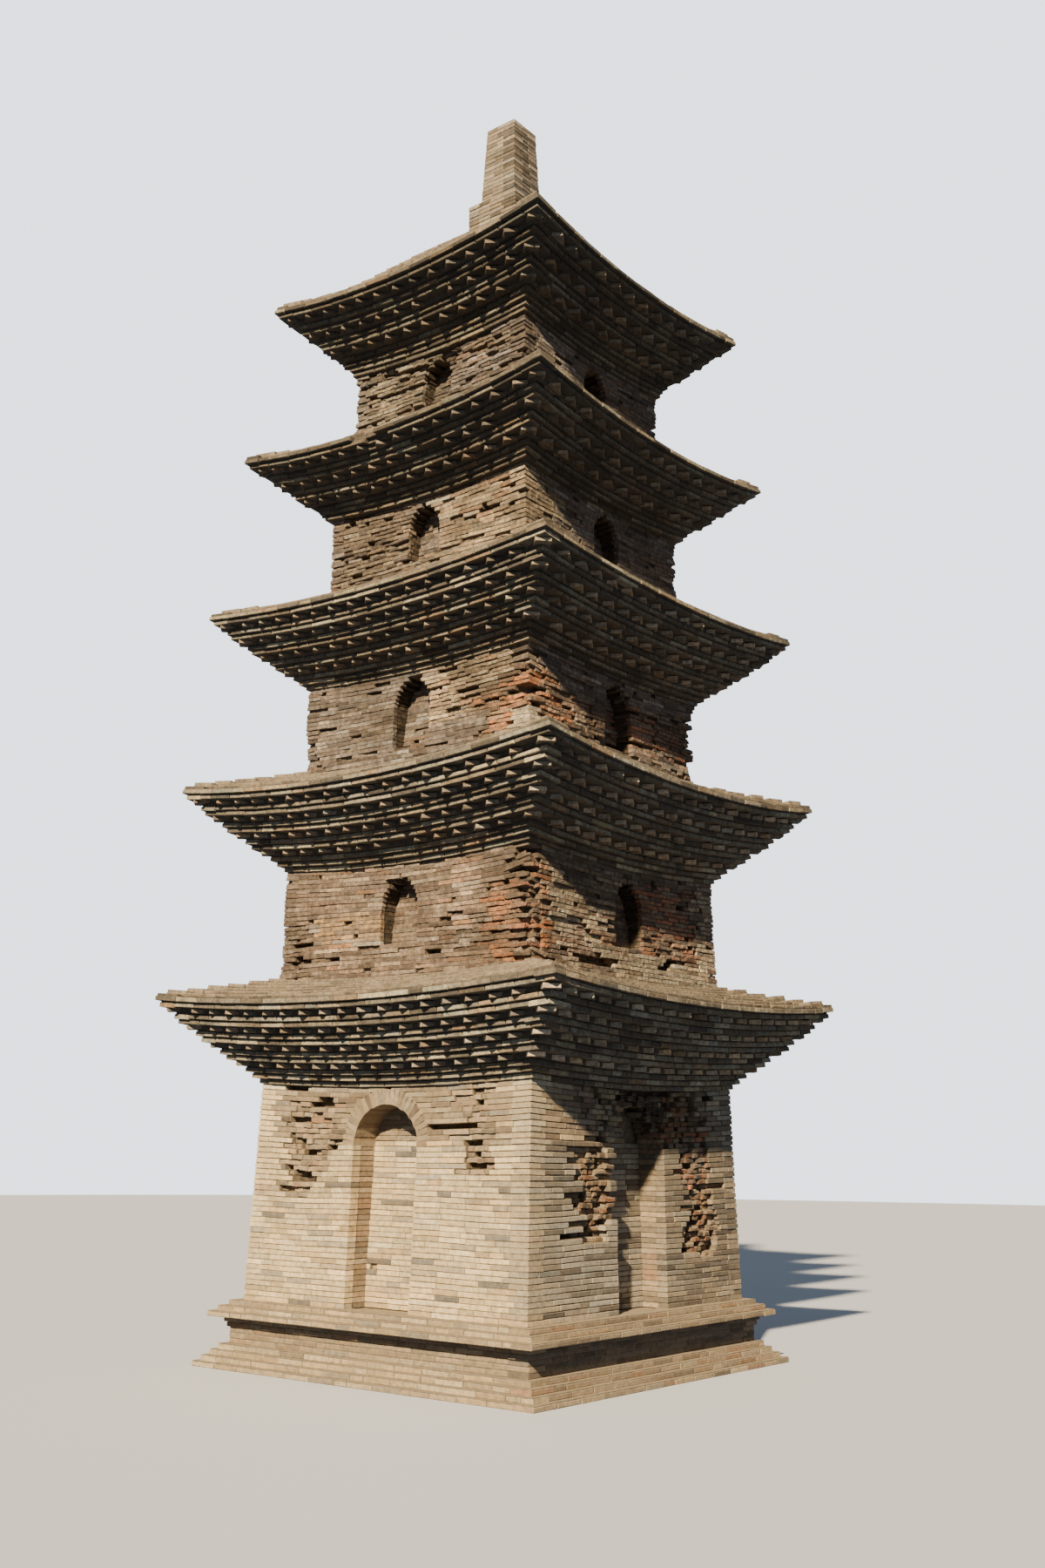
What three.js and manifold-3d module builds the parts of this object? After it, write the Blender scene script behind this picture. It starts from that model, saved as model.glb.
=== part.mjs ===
// Square brick pagoda of five storeys, in millimetres, +Z up.
// The origin is the centre of the underside, where the lowest footing course meets the ground.
// The front is the -Y side. The two sides that face the street are -Y and +X.
import * as THREE from 'three';
import { mergeVertices } from 'three/addons/utils/BufferGeometryUtils.js';
import Module from 'manifold-3d';

const wasm = await Module();
wasm.setup();

// Gap between two courses that follow the same curve, so that they don't cut into each other
const bedGap = 0.3;
// Gap round a wall or a finial that stands in the top course of the roof below
const socketGap = 1;
const courseHeight = 45;

// Plinth, from the ground up. Half widths are measured from the axis to the middle of a side.
const footing = { courses: 4, courseHeight: 47.5, lowestHalf: 1900, step: 53 };
const dado = { half: 1675, height: 140 };
const fillets = { courses: 2, lowestHalf: 1695, step: 20 };
const plinthSteps = { courses: 3, lowestHalf: 1820, step: 65 };

// Each storey is a wall, the corbelled eave over it, and the stepped roof above that eave.
// Heights are taken at the middle of a side. lip is the underside of the eave's edge course, and
// rise is how much the eave's corner stands above its middle. wallSkew and eaveSkew say how far
// out of square the shaft stands: X grows, Y shrinks.
const storeys = [
  {
    wallBottomHalf: 1600, wallTopHalf: 1540, wallTop: 2386, wallSkew: 0.013,
    eaveHalf: 2258, lip: 3067, rise: 110, eaveSkew: 0.023, toothRows: 4, corbelCourses: 3,
    roofTop: 3334,
    niche: { half: 365, bottom: 555, springing: 1890, apex: 2235, depth: 220 },
  },
  {
    wallBottomHalf: 1475, wallTopHalf: 1440, wallTop: 4326, wallSkew: 0.004,
    eaveHalf: 2158, lip: 4970, rise: 150, eaveSkew: 0.013, toothRows: 4, corbelCourses: 3,
    roofTop: 5274,
    niche: { half: 217, bottom: 3620, springing: 3950, apex: 4245, depth: 150 },
  },
  {
    wallBottomHalf: 1367, wallTopHalf: 1345, wallTop: 6118, wallSkew: 0,
    eaveHalf: 2040, lip: 6717, rise: 120, eaveSkew: 0.007, toothRows: 4, corbelCourses: 3,
    roofTop: 7032,
    niche: { half: 217, bottom: 5455, springing: 5810, apex: 6095, depth: 150 },
  },
  {
    wallBottomHalf: 1238, wallTopHalf: 1232, wallTop: 7838, wallSkew: -0.015,
    eaveHalf: 1858, lip: 8313, rise: 160, eaveSkew: 0, toothRows: 3, corbelCourses: 3,
    roofTop: 8618,
    niche: { half: 200, bottom: 7230, springing: 7530, apex: 7800, depth: 150 },
  },
  {
    wallBottomHalf: 1112, wallTopHalf: 1098, wallTop: 9405, wallSkew: -0.012,
    eaveHalf: 1698, lip: 9964, rise: 155, eaveSkew: -0.003, toothRows: 3, corbelCourses: 4,
    roofTop: 11180,
    niche: { half: 180, bottom: 8860, springing: 9110, apex: 9360, depth: 150 },
  },
];

// How far each course of an eave reaches out, as a share of the whole overhang, from the wall up.
// A tooth row is one recessed course of bricks laid diagonally under two flat courses.
const reachOfFourRows = {
  corbel: [0.03, 0.10, 0.16],
  rows: [
    { tip: 0.24, flats: [0.34, 0.395] },
    { tip: 0.475, flats: [0.57, 0.62] },
    { tip: 0.695, flats: [0.78, 0.82] },
    { tip: 0.88, flats: [0.955, 1] },
  ],
};
const reachOfThreeRows = {
  corbel: [0.04, 0.08, 0.135, 0.19],
  rows: [
    { tip: 0.31, flats: [0.42, 0.47] },
    { tip: 0.57, flats: [0.66, 0.73] },
    { tip: 0.83, flats: [0.94, 1] },
  ],
};
// A diagonal brick shows one corner: its point stands this far in front of the row's back wall
const toothDepth = 95;

// Roofs step back course by course. hollow is how much flatter a roof starts than it ends.
const roofs = { courses: 6, hollow: 0 };
const topRoof = { courses: 26, hollow: 0.75 };
const wallSeatDepth = 60;
const finialBase = { half: 313, top: 11485 };
const finialShaft = { bottomHalf: 225, topHalf: 184, top: 12405 };

// Where bricks have fallen out. side 0 is the front and side 1 the right side. An outline goes
// round the hole in millimetres: along the side from its middle, to the right, and in height.
const wallLosses = [
  {
    storey: 1, side: 0, depth: 50,
    outline: [[-1250, 1440], [-760, 1440], [-770, 1680], [-1190, 1680]],
  },
  {
    storey: 1, side: 0, depth: 50,
    outline: [[-1180, 1740], [-700, 1700], [-560, 1890], [-1150, 1900]],
  },
  {
    storey: 1, side: 0, depth: 70,
    outline: [[-1230, 2040], [-860, 2040], [-540, 2130], [-560, 2170], [-1200, 2160]],
  },
  {
    storey: 1, side: 0, depth: 50,
    outline: [[-830, 2220], [-500, 2220], [-500, 2270], [-830, 2270]],
  },
  {
    storey: 1, side: 0, depth: 60,
    outline: [[900, 1650], [1160, 1740], [1000, 1830], [850, 1780]],
  },
  {
    storey: 1, side: 0, depth: 60,
    outline: [[850, 1860], [1130, 1880], [1100, 1990], [860, 1990]],
  },
  {
    storey: 1, side: 0, depth: 60,
    outline: [[840, 2200], [1110, 2200], [1120, 2320], [850, 2300]],
  },
  {
    storey: 1, side: 1, depth: 50,
    outline: [[-1080, 1140], [-500, 1100], [-420, 1400], [-470, 1720], [-660, 1840], [-900, 1790]],
  },
  {
    storey: 1, side: 1, depth: 60,
    outline: [[540, 1010], [1150, 920], [1280, 1090], [1250, 1240], [1060, 1390], [900, 1410], [560, 1150]],
  },
  {
    storey: 1, side: 1, depth: 30,
    outline: [[900, 1430], [1090, 1420], [1130, 1700], [1060, 1960], [700, 1920], [640, 1560]],
  },
  {
    storey: 1, side: 1, depth: 60,
    outline: [[-560, 1930], [-440, 1900], [-200, 2300], [-420, 2310], [-540, 2180]],
  },
  {
    storey: 1, side: 1, depth: 60,
    outline: [[180, 2220], [440, 1950], [560, 2180], [500, 2310], [200, 2320]],
  },
  {
    storey: 2, side: 0, depth: 60,
    outline: [[1250, 3420], [1560, 3420], [1560, 4250], [1290, 4250], [1350, 3990]],
  },
  {
    storey: 2, side: 1, depth: 60,
    outline: [[-1560, 3420], [-1210, 3420], [-1170, 3700], [-1300, 4250], [-1560, 4250]],
  },
  {
    storey: 2, side: 0, depth: 70,
    outline: [[-960, 3480], [-560, 3470], [-560, 3530], [-960, 3540]],
  },
  {
    storey: 2, side: 0, depth: 70,
    outline: [[340, 3460], [640, 3460], [640, 3520], [340, 3520]],
  },
  {
    storey: 2, side: 0, depth: 70,
    outline: [[-1340, 3500], [-1140, 3480], [-1140, 3560], [-1340, 3570]],
  },
  {
    storey: 2, side: 1, depth: 60,
    outline: [[-820, 3400], [-330, 3400], [-290, 3480], [-560, 3580], [-800, 3540]],
  },
  {
    storey: 2, side: 1, depth: 35,
    outline: [[260, 3580], [940, 3540], [960, 4150], [280, 4200]],
  },
  {
    storey: 3, side: 0, depth: 60,
    outline: [[1180, 5710], [1460, 5710], [1460, 5810], [1180, 5770]],
  },
  {
    storey: 3, side: 0, depth: 60,
    outline: [[1200, 5950], [1460, 5950], [1460, 6060], [1200, 6010]],
  },
  {
    storey: 3, side: 0, depth: 90,
    outline: [[-1460, 5420], [-1310, 5420], [-1310, 5600], [-1460, 5600]],
  },
  {
    storey: 3, side: 1, depth: 150,
    outline: [[1200, 5200], [1460, 5200], [1460, 5980], [1250, 5980], [1190, 5600]],
  },
  {
    storey: 4, side: 1, depth: 90,
    outline: [[1180, 7640], [1330, 7640], [1330, 7720], [1180, 7720]],
  },
  {
    storey: 5, side: 0, depth: 45,
    outline: [[300, 9150], [980, 9190], [960, 9290], [320, 9330]],
  },
];
const lipLoss = { storey: 4, side: 0, depth: 75, from: -350, to: 40 };

// A side is straight between these places, given as shares of the eave's half width
const stationShares = [0, 0.42, 0.72, 1];

const colours = {
  restoredBrick: 0xb39c80,
  weatheredBrick: 0x7d6a58,
  eaveBrick: 0x5f544a,
  roofBrick: 0x9c8a76,
};

// The four sides, counter-clockwise from the front. along runs to the right, seen from outside.
const sides = [
  (along, out) => [along, -out],
  (along, out) => [out, along],
  (along, out) => [-along, out],
  (along, out) => [-out, -along],
];

const footingTop = footing.courses * footing.courseHeight;
const dadoTop = footingTop + dado.height;
const filletsTop = dadoTop + fillets.courses * courseHeight;
const plinthTop = filletsTop + plinthSteps.courses * courseHeight;

// Out of square share at a height: it runs evenly from one wall's top or eave's lip to the next
function skewAt(z) {
  const levels = [[plinthTop, 0]];
  for (const storey of storeys) {
    levels.push([storey.wallTop, storey.wallSkew]);
    levels.push([storey.lip, storey.eaveSkew]);
  }
  if (z <= plinthTop) {
    return 0;
  }
  for (let i = 1; i < levels.length; i += 1) {
    const [lowZ, lowSkew] = levels[i - 1];
    const [highZ, highSkew] = levels[i];
    if (z <= highZ) {
      return lowSkew + (highSkew - lowSkew) * (z - lowZ) / (highZ - lowZ);
    }
  }
  return levels[levels.length - 1][1];
}

// The curve of one eave: how far a point rises at a distance along the side from its middle
function makeBow(half, rise) {
  const stations = stationShares.map((share) => share * half);
  const heights = stationShares.map((share) => share * share * rise);
  const last = stations.length - 1;
  const lift = (along) => {
    let i = 1;
    while (i < last && along > stations[i]) {
      i += 1;
    }
    const share = (along - stations[i - 1]) / (stations[i] - stations[i - 1]);
    return heights[i - 1] + share * (heights[i] - heights[i - 1]);
  };
  return { stations, lift };
}

// Where a ring bends on each side. Stations beyond the ring's own corner fall on that corner.
function ringAlongs(ring, bow) {
  const places = bow.stations.map((station) => Math.min(station, ring.half));
  places[places.length - 1] = ring.half;
  return [...places.slice(1).reverse().map((place) => -place), ...places];
}

function ringPoint(ring, bow, side, along, out) {
  const [x, y] = side(along, out);
  const z = ring.z + (ring.bowed ? bow.lift(Math.abs(along)) : 0);
  return new THREE.Vector3(x, y, z);
}

// A closed solid from rings laid one over the other, with a cap at its bottom and its top.
// Both caps follow the bow, in strips that run straight in from the side to the diagonals.
function squareStack(rings, bow) {
  const positions = [];
  const addTriangle = (a, b, c) => {
    if (a.equals(b) || b.equals(c) || a.equals(c)) {
      return;
    }
    positions.push(a.x, a.y, a.z, b.x, b.y, b.z, c.x, c.y, c.z);
  };
  const addStrip = (low, high) => {
    for (let i = 0; i < low.length; i += 1) {
      const j = (i + 1) % low.length;
      addTriangle(low[i], low[j], high[j]);
      addTriangle(low[i], high[j], high[i]);
    }
  };
  const addCap = (ring, facesUp) => {
    const add = facesUp ? addTriangle : (a, b, c) => addTriangle(a, c, b);
    const alongs = ringAlongs(ring, bow);
    for (const side of sides) {
      for (let i = 1; i < alongs.length; i += 1) {
        const [left, right] = [alongs[i - 1], alongs[i]];
        const outerLeft = ringPoint(ring, bow, side, left, ring.half);
        const outerRight = ringPoint(ring, bow, side, right, ring.half);
        const innerLeft = ringPoint(ring, bow, side, left, Math.abs(left));
        const innerRight = ringPoint(ring, bow, side, right, Math.abs(right));
        add(outerLeft, outerRight, innerRight);
        add(outerLeft, innerRight, innerLeft);
      }
    }
  };
  const loops = rings.map((ring) => sides.flatMap((side) => (
    ringAlongs(ring, bow).slice(0, -1).map((along) => ringPoint(ring, bow, side, along, ring.half))
  )));
  for (let level = 1; level < loops.length; level += 1) {
    addStrip(loops[level - 1], loops[level]);
  }
  addCap(rings[0], false);
  addCap(rings[rings.length - 1], true);
  const geometry = new THREE.BufferGeometry();
  geometry.setAttribute('position', new THREE.Float32BufferAttribute(positions, 3));
  return mergeVertices(geometry, 0.001);
}

function toSolid(geometry) {
  const bare = geometry.clone();
  bare.deleteAttribute('normal');
  bare.deleteAttribute('uv');
  const merged = mergeVertices(bare, 0.001);
  return new wasm.Manifold(new wasm.Mesh({
    numProp: 3,
    vertProperties: new Float32Array(merged.attributes.position.array),
    triVerts: new Uint32Array(merged.index.array),
  }));
}

function toGeometry(solid) {
  const mesh = solid.getMesh();
  const geometry = new THREE.BufferGeometry();
  geometry.setAttribute('position', new THREE.BufferAttribute(mesh.vertProperties, 3));
  geometry.setIndex(new THREE.BufferAttribute(mesh.triVerts, 1));
  return geometry;
}

// Moves every point out of square by the share that its height has
function settle(geometry) {
  const position = geometry.attributes.position;
  for (let i = 0; i < position.count; i += 1) {
    const skew = skewAt(position.getZ(i));
    position.setX(i, position.getX(i) * (1 + skew));
    position.setY(i, position.getY(i) * (1 - skew));
  }
  return geometry;
}

const pagoda = new THREE.Group();

function addNode(name, geometry, colour) {
  const material = new THREE.MeshStandardMaterial({ color: colour, roughness: 0.95, metalness: 0 });
  const settled = settle(geometry);
  settled.computeVertexNormals();
  const mesh = new THREE.Mesh(settled, material);
  mesh.name = name;
  pagoda.add(mesh);
}

// Rings for straight-sided courses of one height: each entry is a course's half width, bottom up
function courseRings(halves, bottom, height, bowed) {
  return halves.flatMap((half, i) => [
    { half, z: bottom + i * height, bowed },
    { half, z: bottom + (i + 1) * height, bowed },
  ]);
}

// Half widths of courses that each reach out by one step more than the course below
function steppedHalves(courses, step) {
  return Array.from({ length: courses.courses }, (_, i) => courses.lowestHalf + i * step);
}

function addPlinth() {
  const flat = makeBow(footing.lowestHalf, 0);
  const add = (name, halves, bottom, height) => {
    const rings = courseRings(halves, bottom, height, false);
    addNode(name, squareStack(rings, flat), colours.restoredBrick);
  };
  add('footing', steppedHalves(footing, -footing.step), 0, footing.courseHeight);
  add('plinth_dado', [dado.half], footingTop, dado.height);
  add('plinth_fillets', steppedHalves(fillets, fillets.step), dadoTop, courseHeight);
  add('plinth_steps', steppedHalves(plinthSteps, -plinthSteps.step), filletsTop, courseHeight);
}

// Pointed arch: two arcs that meet at the apex over a straight-sided recess
function nicheOutline(niche) {
  const { half, bottom, springing, apex } = niche;
  const archRise = apex - springing;
  const radius = (half * half + archRise * archRise) / (2 * half);
  const sweep = Math.atan2(archRise, radius - half);
  const outline = new THREE.Shape();
  outline.moveTo(-half, bottom);
  outline.lineTo(half, bottom);
  outline.lineTo(half, springing);
  outline.absarc(half - radius, springing, radius, 0, sweep, false);
  outline.absarc(radius - half, springing, radius, Math.PI - sweep, Math.PI, false);
  outline.closePath();
  return outline;
}

function outlineOf(corners) {
  return new THREE.Shape(corners.map(([along, z]) => new THREE.Vector2(along, z)));
}

// A tool that cuts an outline into one side, from outside the face to a depth behind it
function sideTool(outline, depth, faceHalf, side) {
  const clear = 200;
  const tool = new THREE.ExtrudeGeometry(outline, {
    depth: depth + clear,
    bevelEnabled: false,
    curveSegments: 6,
  });
  tool.rotateX(Math.PI / 2);
  tool.translate(0, depth - faceHalf, 0);
  tool.rotateZ(side * Math.PI / 2);
  return toSolid(tool);
}

function addWall(storey, number, bottom) {
  const { wallBottomHalf, wallTopHalf, wallTop, niche } = storey;
  const bow = makeBow(storey.eaveHalf, storey.rise);
  const halfAt = (z) => {
    const share = (z - bottom) / (wallTop - bottom);
    return wallBottomHalf + share * (wallTopHalf - wallBottomHalf);
  };
  let solid = toSolid(squareStack([
    { half: wallBottomHalf, z: bottom, bowed: false },
    { half: wallTopHalf, z: wallTop - bedGap, bowed: true },
  ], bow));
  for (const side of sides.keys()) {
    solid = solid.subtract(sideTool(nicheOutline(niche), niche.depth, halfAt(niche.springing), side));
  }
  for (const loss of wallLosses.filter((item) => item.storey === number)) {
    const heights = loss.outline.map((corner) => corner[1]);
    const middle = (Math.min(...heights) + Math.max(...heights)) / 2;
    solid = solid.subtract(sideTool(outlineOf(loss.outline), loss.depth, halfAt(middle), loss.side));
  }
  const colour = number === 1 ? colours.restoredBrick : colours.weatheredBrick;
  addNode(`storey_${number}_wall`, toGeometry(solid), colour);
}

// The piece that is missing from an eave's two edge courses
function lipTool(storey, bottom, height) {
  const { from, to, depth, side } = lipLoss;
  const top = bottom + height;
  const outline = outlineOf([[from, bottom], [to, bottom], [to, top], [from, top]]);
  return sideTool(outline, depth, storey.eaveHalf, side);
}

// The corbel courses at the wall, then one tier for each tooth row, each on the tier below
function addEave(storey, number) {
  const bow = makeBow(storey.eaveHalf, storey.rise);
  const overhang = storey.eaveHalf - storey.wallTopHalf;
  const reach = storey.toothRows === 4 ? reachOfFourRows : reachOfThreeRows;
  const corbelShares = reach.corbel.slice(-storey.corbelCourses);
  const coursesUnderLip = storey.corbelCourses + storey.toothRows * 3 - 1;
  const height = (storey.lip - storey.wallTop) / coursesUnderLip;
  const halfOf = (share) => storey.wallTopHalf + share * overhang;
  let z = storey.wallTop;
  const addTier = (name, halves, isBroken) => {
    const rings = courseRings(halves, z, height, true);
    rings[rings.length - 1].z -= bedGap;
    let tier = squareStack(rings, bow);
    if (isBroken) {
      const tool = lipTool(storey, z + height, storey.rise + halves.length * height);
      tier = toGeometry(toSolid(tier).subtract(tool));
    }
    addNode(name, tier, colours.eaveBrick);
    z += halves.length * height;
  };
  addTier(`eave_${number}_corbel`, corbelShares.map(halfOf), false);
  reach.rows.forEach((row, i) => {
    const back = halfOf(row.tip) - toothDepth;
    const isEdge = i === reach.rows.length - 1;
    const isBroken = isEdge && number === lipLoss.storey;
    addTier(`eave_${number}_tier_${i + 1}`, [back, ...row.flats.map(halfOf)], isBroken);
  });
  return z;
}

// Courses of one height that step back from the lip to the foot of what stands on the roof
function addRoof(storey, number, bottom, seatHalf, shape) {
  const bow = makeBow(storey.eaveHalf, storey.rise);
  const rim = seatHalf + socketGap;
  const halves = Array.from({ length: shape.courses }, (_, i) => {
    const share = (i + 0.5) / shape.courses;
    const setBack = share + shape.hollow * share * (1 - share) ** 3;
    return storey.eaveHalf - (storey.eaveHalf - rim) * setBack;
  });
  const rings = courseRings(halves, bottom, (storey.roofTop - bottom) / shape.courses, true);
  rings.push({ half: rim, z: storey.roofTop, bowed: true });
  rings.push({ half: rim, z: storey.roofTop - wallSeatDepth, bowed: false });
  addNode(`eave_${number}_roof`, squareStack(rings, bow), colours.roofBrick);
}

function addFinial(bottom) {
  const flat = makeBow(finialBase.half, 0);
  addNode('finial_base', squareStack([
    { half: finialBase.half, z: bottom, bowed: false },
    { half: finialBase.half, z: finialBase.top, bowed: false },
  ], flat), colours.restoredBrick);
  addNode('finial_shaft', squareStack([
    { half: finialShaft.bottomHalf, z: finialBase.top, bowed: false },
    { half: finialShaft.topHalf, z: finialShaft.top, bowed: false },
  ], flat), colours.restoredBrick);
}

addPlinth();
let foot = plinthTop;
storeys.forEach((storey, i) => {
  const above = storeys[i + 1];
  addWall(storey, i + 1, foot);
  const roofBottom = addEave(storey, i + 1);
  if (above) {
    addRoof(storey, i + 1, roofBottom, above.wallBottomHalf, roofs);
  } else {
    addRoof(storey, i + 1, roofBottom, finialBase.half, topRoof);
  }
  foot = storey.roofTop - wallSeatDepth;
});
addFinial(foot);

export default pagoda;
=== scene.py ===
import math
import random

import bpy
from mathutils import Matrix, Vector


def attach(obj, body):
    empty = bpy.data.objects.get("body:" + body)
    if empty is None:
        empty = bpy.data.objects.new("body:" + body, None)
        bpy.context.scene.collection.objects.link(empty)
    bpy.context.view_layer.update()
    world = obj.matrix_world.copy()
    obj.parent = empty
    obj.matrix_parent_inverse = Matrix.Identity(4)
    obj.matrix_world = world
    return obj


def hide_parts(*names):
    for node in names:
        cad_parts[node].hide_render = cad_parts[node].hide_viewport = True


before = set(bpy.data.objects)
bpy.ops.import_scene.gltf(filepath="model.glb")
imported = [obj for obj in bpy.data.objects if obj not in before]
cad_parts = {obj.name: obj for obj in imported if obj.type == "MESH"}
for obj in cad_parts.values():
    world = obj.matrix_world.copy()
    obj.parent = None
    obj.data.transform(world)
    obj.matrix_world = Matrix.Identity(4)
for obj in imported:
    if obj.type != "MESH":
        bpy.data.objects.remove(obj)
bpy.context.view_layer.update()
print("frame loaded")

# Metres, +Z up, the front is the -Y side. Sides are numbered 0 front, 1 right (+X), 2 back, 3 left.
# A wall has its half width at the foot and at the top. A niche has its half width, foot, springing,
# apex and depth. A lean moves the right and left sides out by its share, and the front and back in.
tower = {
    "plinthTop": 0.555,
    "storeys": [
        {"wall": (1.600, 1.540), "wallTop": 2.386, "wallLean": 0.013, "eave": 2.258, "lip": 3.067,
         "rise": 0.110, "eaveLean": 0.023, "toothRows": 4, "corbels": 3, "roofTop": 3.334,
         "niche": (0.365, 0.555, 1.890, 2.235, 0.220)},
        {"wall": (1.475, 1.440), "wallTop": 4.326, "wallLean": 0.004, "eave": 2.158, "lip": 4.970,
         "rise": 0.150, "eaveLean": 0.013, "toothRows": 4, "corbels": 3, "roofTop": 5.274,
         "niche": (0.217, 3.620, 3.950, 4.245, 0.150)},
        {"wall": (1.367, 1.345), "wallTop": 6.118, "wallLean": 0.0, "eave": 2.040, "lip": 6.717,
         "rise": 0.120, "eaveLean": 0.007, "toothRows": 4, "corbels": 3, "roofTop": 7.032,
         "niche": (0.217, 5.455, 5.810, 6.095, 0.150)},
        {"wall": (1.238, 1.232), "wallTop": 7.838, "wallLean": -0.015, "eave": 1.858, "lip": 8.313,
         "rise": 0.160, "eaveLean": 0.0, "toothRows": 3, "corbels": 3, "roofTop": 8.618,
         "niche": (0.200, 7.230, 7.530, 7.800, 0.150)},
        {"wall": (1.112, 1.098), "wallTop": 9.405, "wallLean": -0.012, "eave": 1.698, "lip": 9.964,
         "rise": 0.155, "eaveLean": -0.003, "toothRows": 3, "corbels": 4, "roofTop": 11.180,
         "niche": (0.180, 8.860, 9.110, 9.360, 0.150)},
    ],
}

# Brick colours, each a list of (share, colour)
clays = {
    "restored": [(50, (0.587, 0.458, 0.278)), (22, (0.680, 0.546, 0.355)), (14, (0.484, 0.371, 0.221)),
                 (9, (0.371, 0.309, 0.232)), (5, (0.175, 0.154, 0.129))],
    # The first storey's right side: greyer bricks, and darker as painted shade
    "greyedAndShaded": [(42, (0.298, 0.261, 0.212)), (24, (0.364, 0.315, 0.248)), (20, (0.228, 0.198, 0.159)),
               (14, (0.138, 0.121, 0.102)), (10, (0.150, 0.124, 0.100))],
    # The near corner's clay lies between the front's and the right side's painted shade
    "corner": [(50, (0.405, 0.330, 0.230)), (30, (0.440, 0.362, 0.255)), (20, (0.345, 0.287, 0.210))],
    "aged": [(40, (0.271, 0.207, 0.138)), (30, (0.325, 0.257, 0.179)), (18, (0.209, 0.156, 0.107)),
             (8, (0.232, 0.199, 0.161)), (4, (0.124, 0.092, 0.069))],
    "weathered": [(34, (0.202, 0.144, 0.112)), (26, (0.255, 0.194, 0.152)), (16, (0.148, 0.105, 0.084)),
                  (12, (0.323, 0.255, 0.198)), (6, (0.269, 0.154, 0.096)), (6, (0.099, 0.075, 0.060))],
    "old": [(34, (0.148, 0.120, 0.105)), (26, (0.188, 0.157, 0.138)), (16, (0.107, 0.086, 0.076)),
            (12, (0.250, 0.216, 0.188)), (5, (0.188, 0.122, 0.091)), (7, (0.070, 0.057, 0.052))],
    "ochre": [(40, (0.33, 0.22, 0.125)), (35, (0.26, 0.18, 0.115)), (25, (0.20, 0.145, 0.105))],
    "orange": [(26, (0.403, 0.168, 0.079)), (24, (0.297, 0.144, 0.084)), (30, (0.233, 0.153, 0.107)),
               (20, (0.148, 0.099, 0.074))],
    "red": [(20, (0.27, 0.120, 0.075)), (30, (0.21, 0.122, 0.088)), (30, (0.18, 0.135, 0.105)),
            (20, (0.11, 0.08, 0.064))],
    "tooth": [(50, (0.225, 0.182, 0.138)), (30, (0.180, 0.146, 0.112)), (20, (0.260, 0.190, 0.130))],
    # Paler teeth for the right side: painted light on its shaded dog-tooth rows
    "paintedLightTooth": [(50, (0.430, 0.340, 0.250)), (30, (0.350, 0.280, 0.205)), (20, (0.480, 0.360, 0.240))],
    "rubble": [(30, (0.197, 0.132, 0.084)), (28, (0.147, 0.100, 0.068)), (20, (0.252, 0.188, 0.132)),
               (22, (0.189, 0.092, 0.054))],
    "worn": [(36, (0.340, 0.262, 0.180)), (34, (0.265, 0.203, 0.140)), (18, (0.190, 0.148, 0.106)),
             (12, (0.290, 0.185, 0.120))],
    "brown": [(34, (0.195, 0.149, 0.112)), (30, (0.142, 0.109, 0.086)), (20, (0.249, 0.199, 0.153)),
              (16, (0.098, 0.077, 0.066))],
    "dusky": [(34, (0.290, 0.240, 0.180)), (30, (0.215, 0.178, 0.136)), (20, (0.150, 0.124, 0.098)),
              (16, (0.110, 0.092, 0.078))],
    # A dark clay for painted shade on the right side of the finial and of the plinth's dado and fillets
    "paintedShadeDark": [(40, (0.190, 0.160, 0.128)), (34, (0.140, 0.118, 0.096)), (26, (0.095, 0.081, 0.068))],
    # A near-black clay: painted shade in niche jambs, in the holes of lost bricks and in the broken head of
    # the right side's arch
    "shadedReveal": [(50, (0.060, 0.044, 0.033)), (30, (0.088, 0.066, 0.048)), (20, (0.040, 0.030, 0.024))],
    "pale": [(58, (0.377, 0.313, 0.230)), (30, (0.313, 0.258, 0.193)), (12, (0.248, 0.212, 0.170))],
    "sooty": [(30, (0.171, 0.143, 0.107)), (22, (0.224, 0.193, 0.142)), (16, (0.113, 0.094, 0.073)),
              (14, (0.297, 0.258, 0.185)), (10, (0.072, 0.061, 0.050)), (8, (0.216, 0.159, 0.104))],
    "roof": [(45, (0.185, 0.148, 0.111)), (30, (0.225, 0.185, 0.140)), (25, (0.143, 0.116, 0.089))],
    "plinth": [(50, (0.391, 0.302, 0.187)), (25, (0.451, 0.357, 0.234)), (15, (0.323, 0.246, 0.157)),
               (10, (0.246, 0.204, 0.153))],
    "finial": [(45, (0.286, 0.235, 0.183)), (30, (0.339, 0.284, 0.223)), (25, (0.226, 0.187, 0.149)),
               (14, (0.137, 0.113, 0.091))],
}


def leanAt(z):
    levels = [(tower["plinthTop"], 0.0)]
    for s in tower["storeys"]:
        levels += [(s["wallTop"], s["wallLean"]), (s["lip"], s["eaveLean"])]
    if z <= levels[0][0]:
        return 0.0
    for (z0, k0), (z1, k1) in zip(levels, levels[1:]):
        if z <= z1:
            return k0 + (k1 - k0) * (z - z0) / (z1 - z0)
    return levels[-1][1]


def sideSize(side, half, z):
    # How far out a side's face stands, and how far it reaches to its corners
    lean = leanAt(z)
    wide, narrow = half * (1 + lean), half * (1 - lean)
    return (narrow, wide) if side % 2 == 0 else (wide, narrow)


def turnSide(side, along, inward):
    a = side * math.pi / 2
    c, s = math.cos(a), math.sin(a)
    return along * c - inward * s, along * s + inward * c


def insideShape(shape, x, y):
    inside = False
    for (x0, y0), (x1, y1) in zip(shape, shape[1:] + shape[:1]):
        if (y0 > y) != (y1 > y) and x < x0 + (x1 - x0) * (y - y0) / (y1 - y0):
            inside = not inside
    return inside


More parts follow.
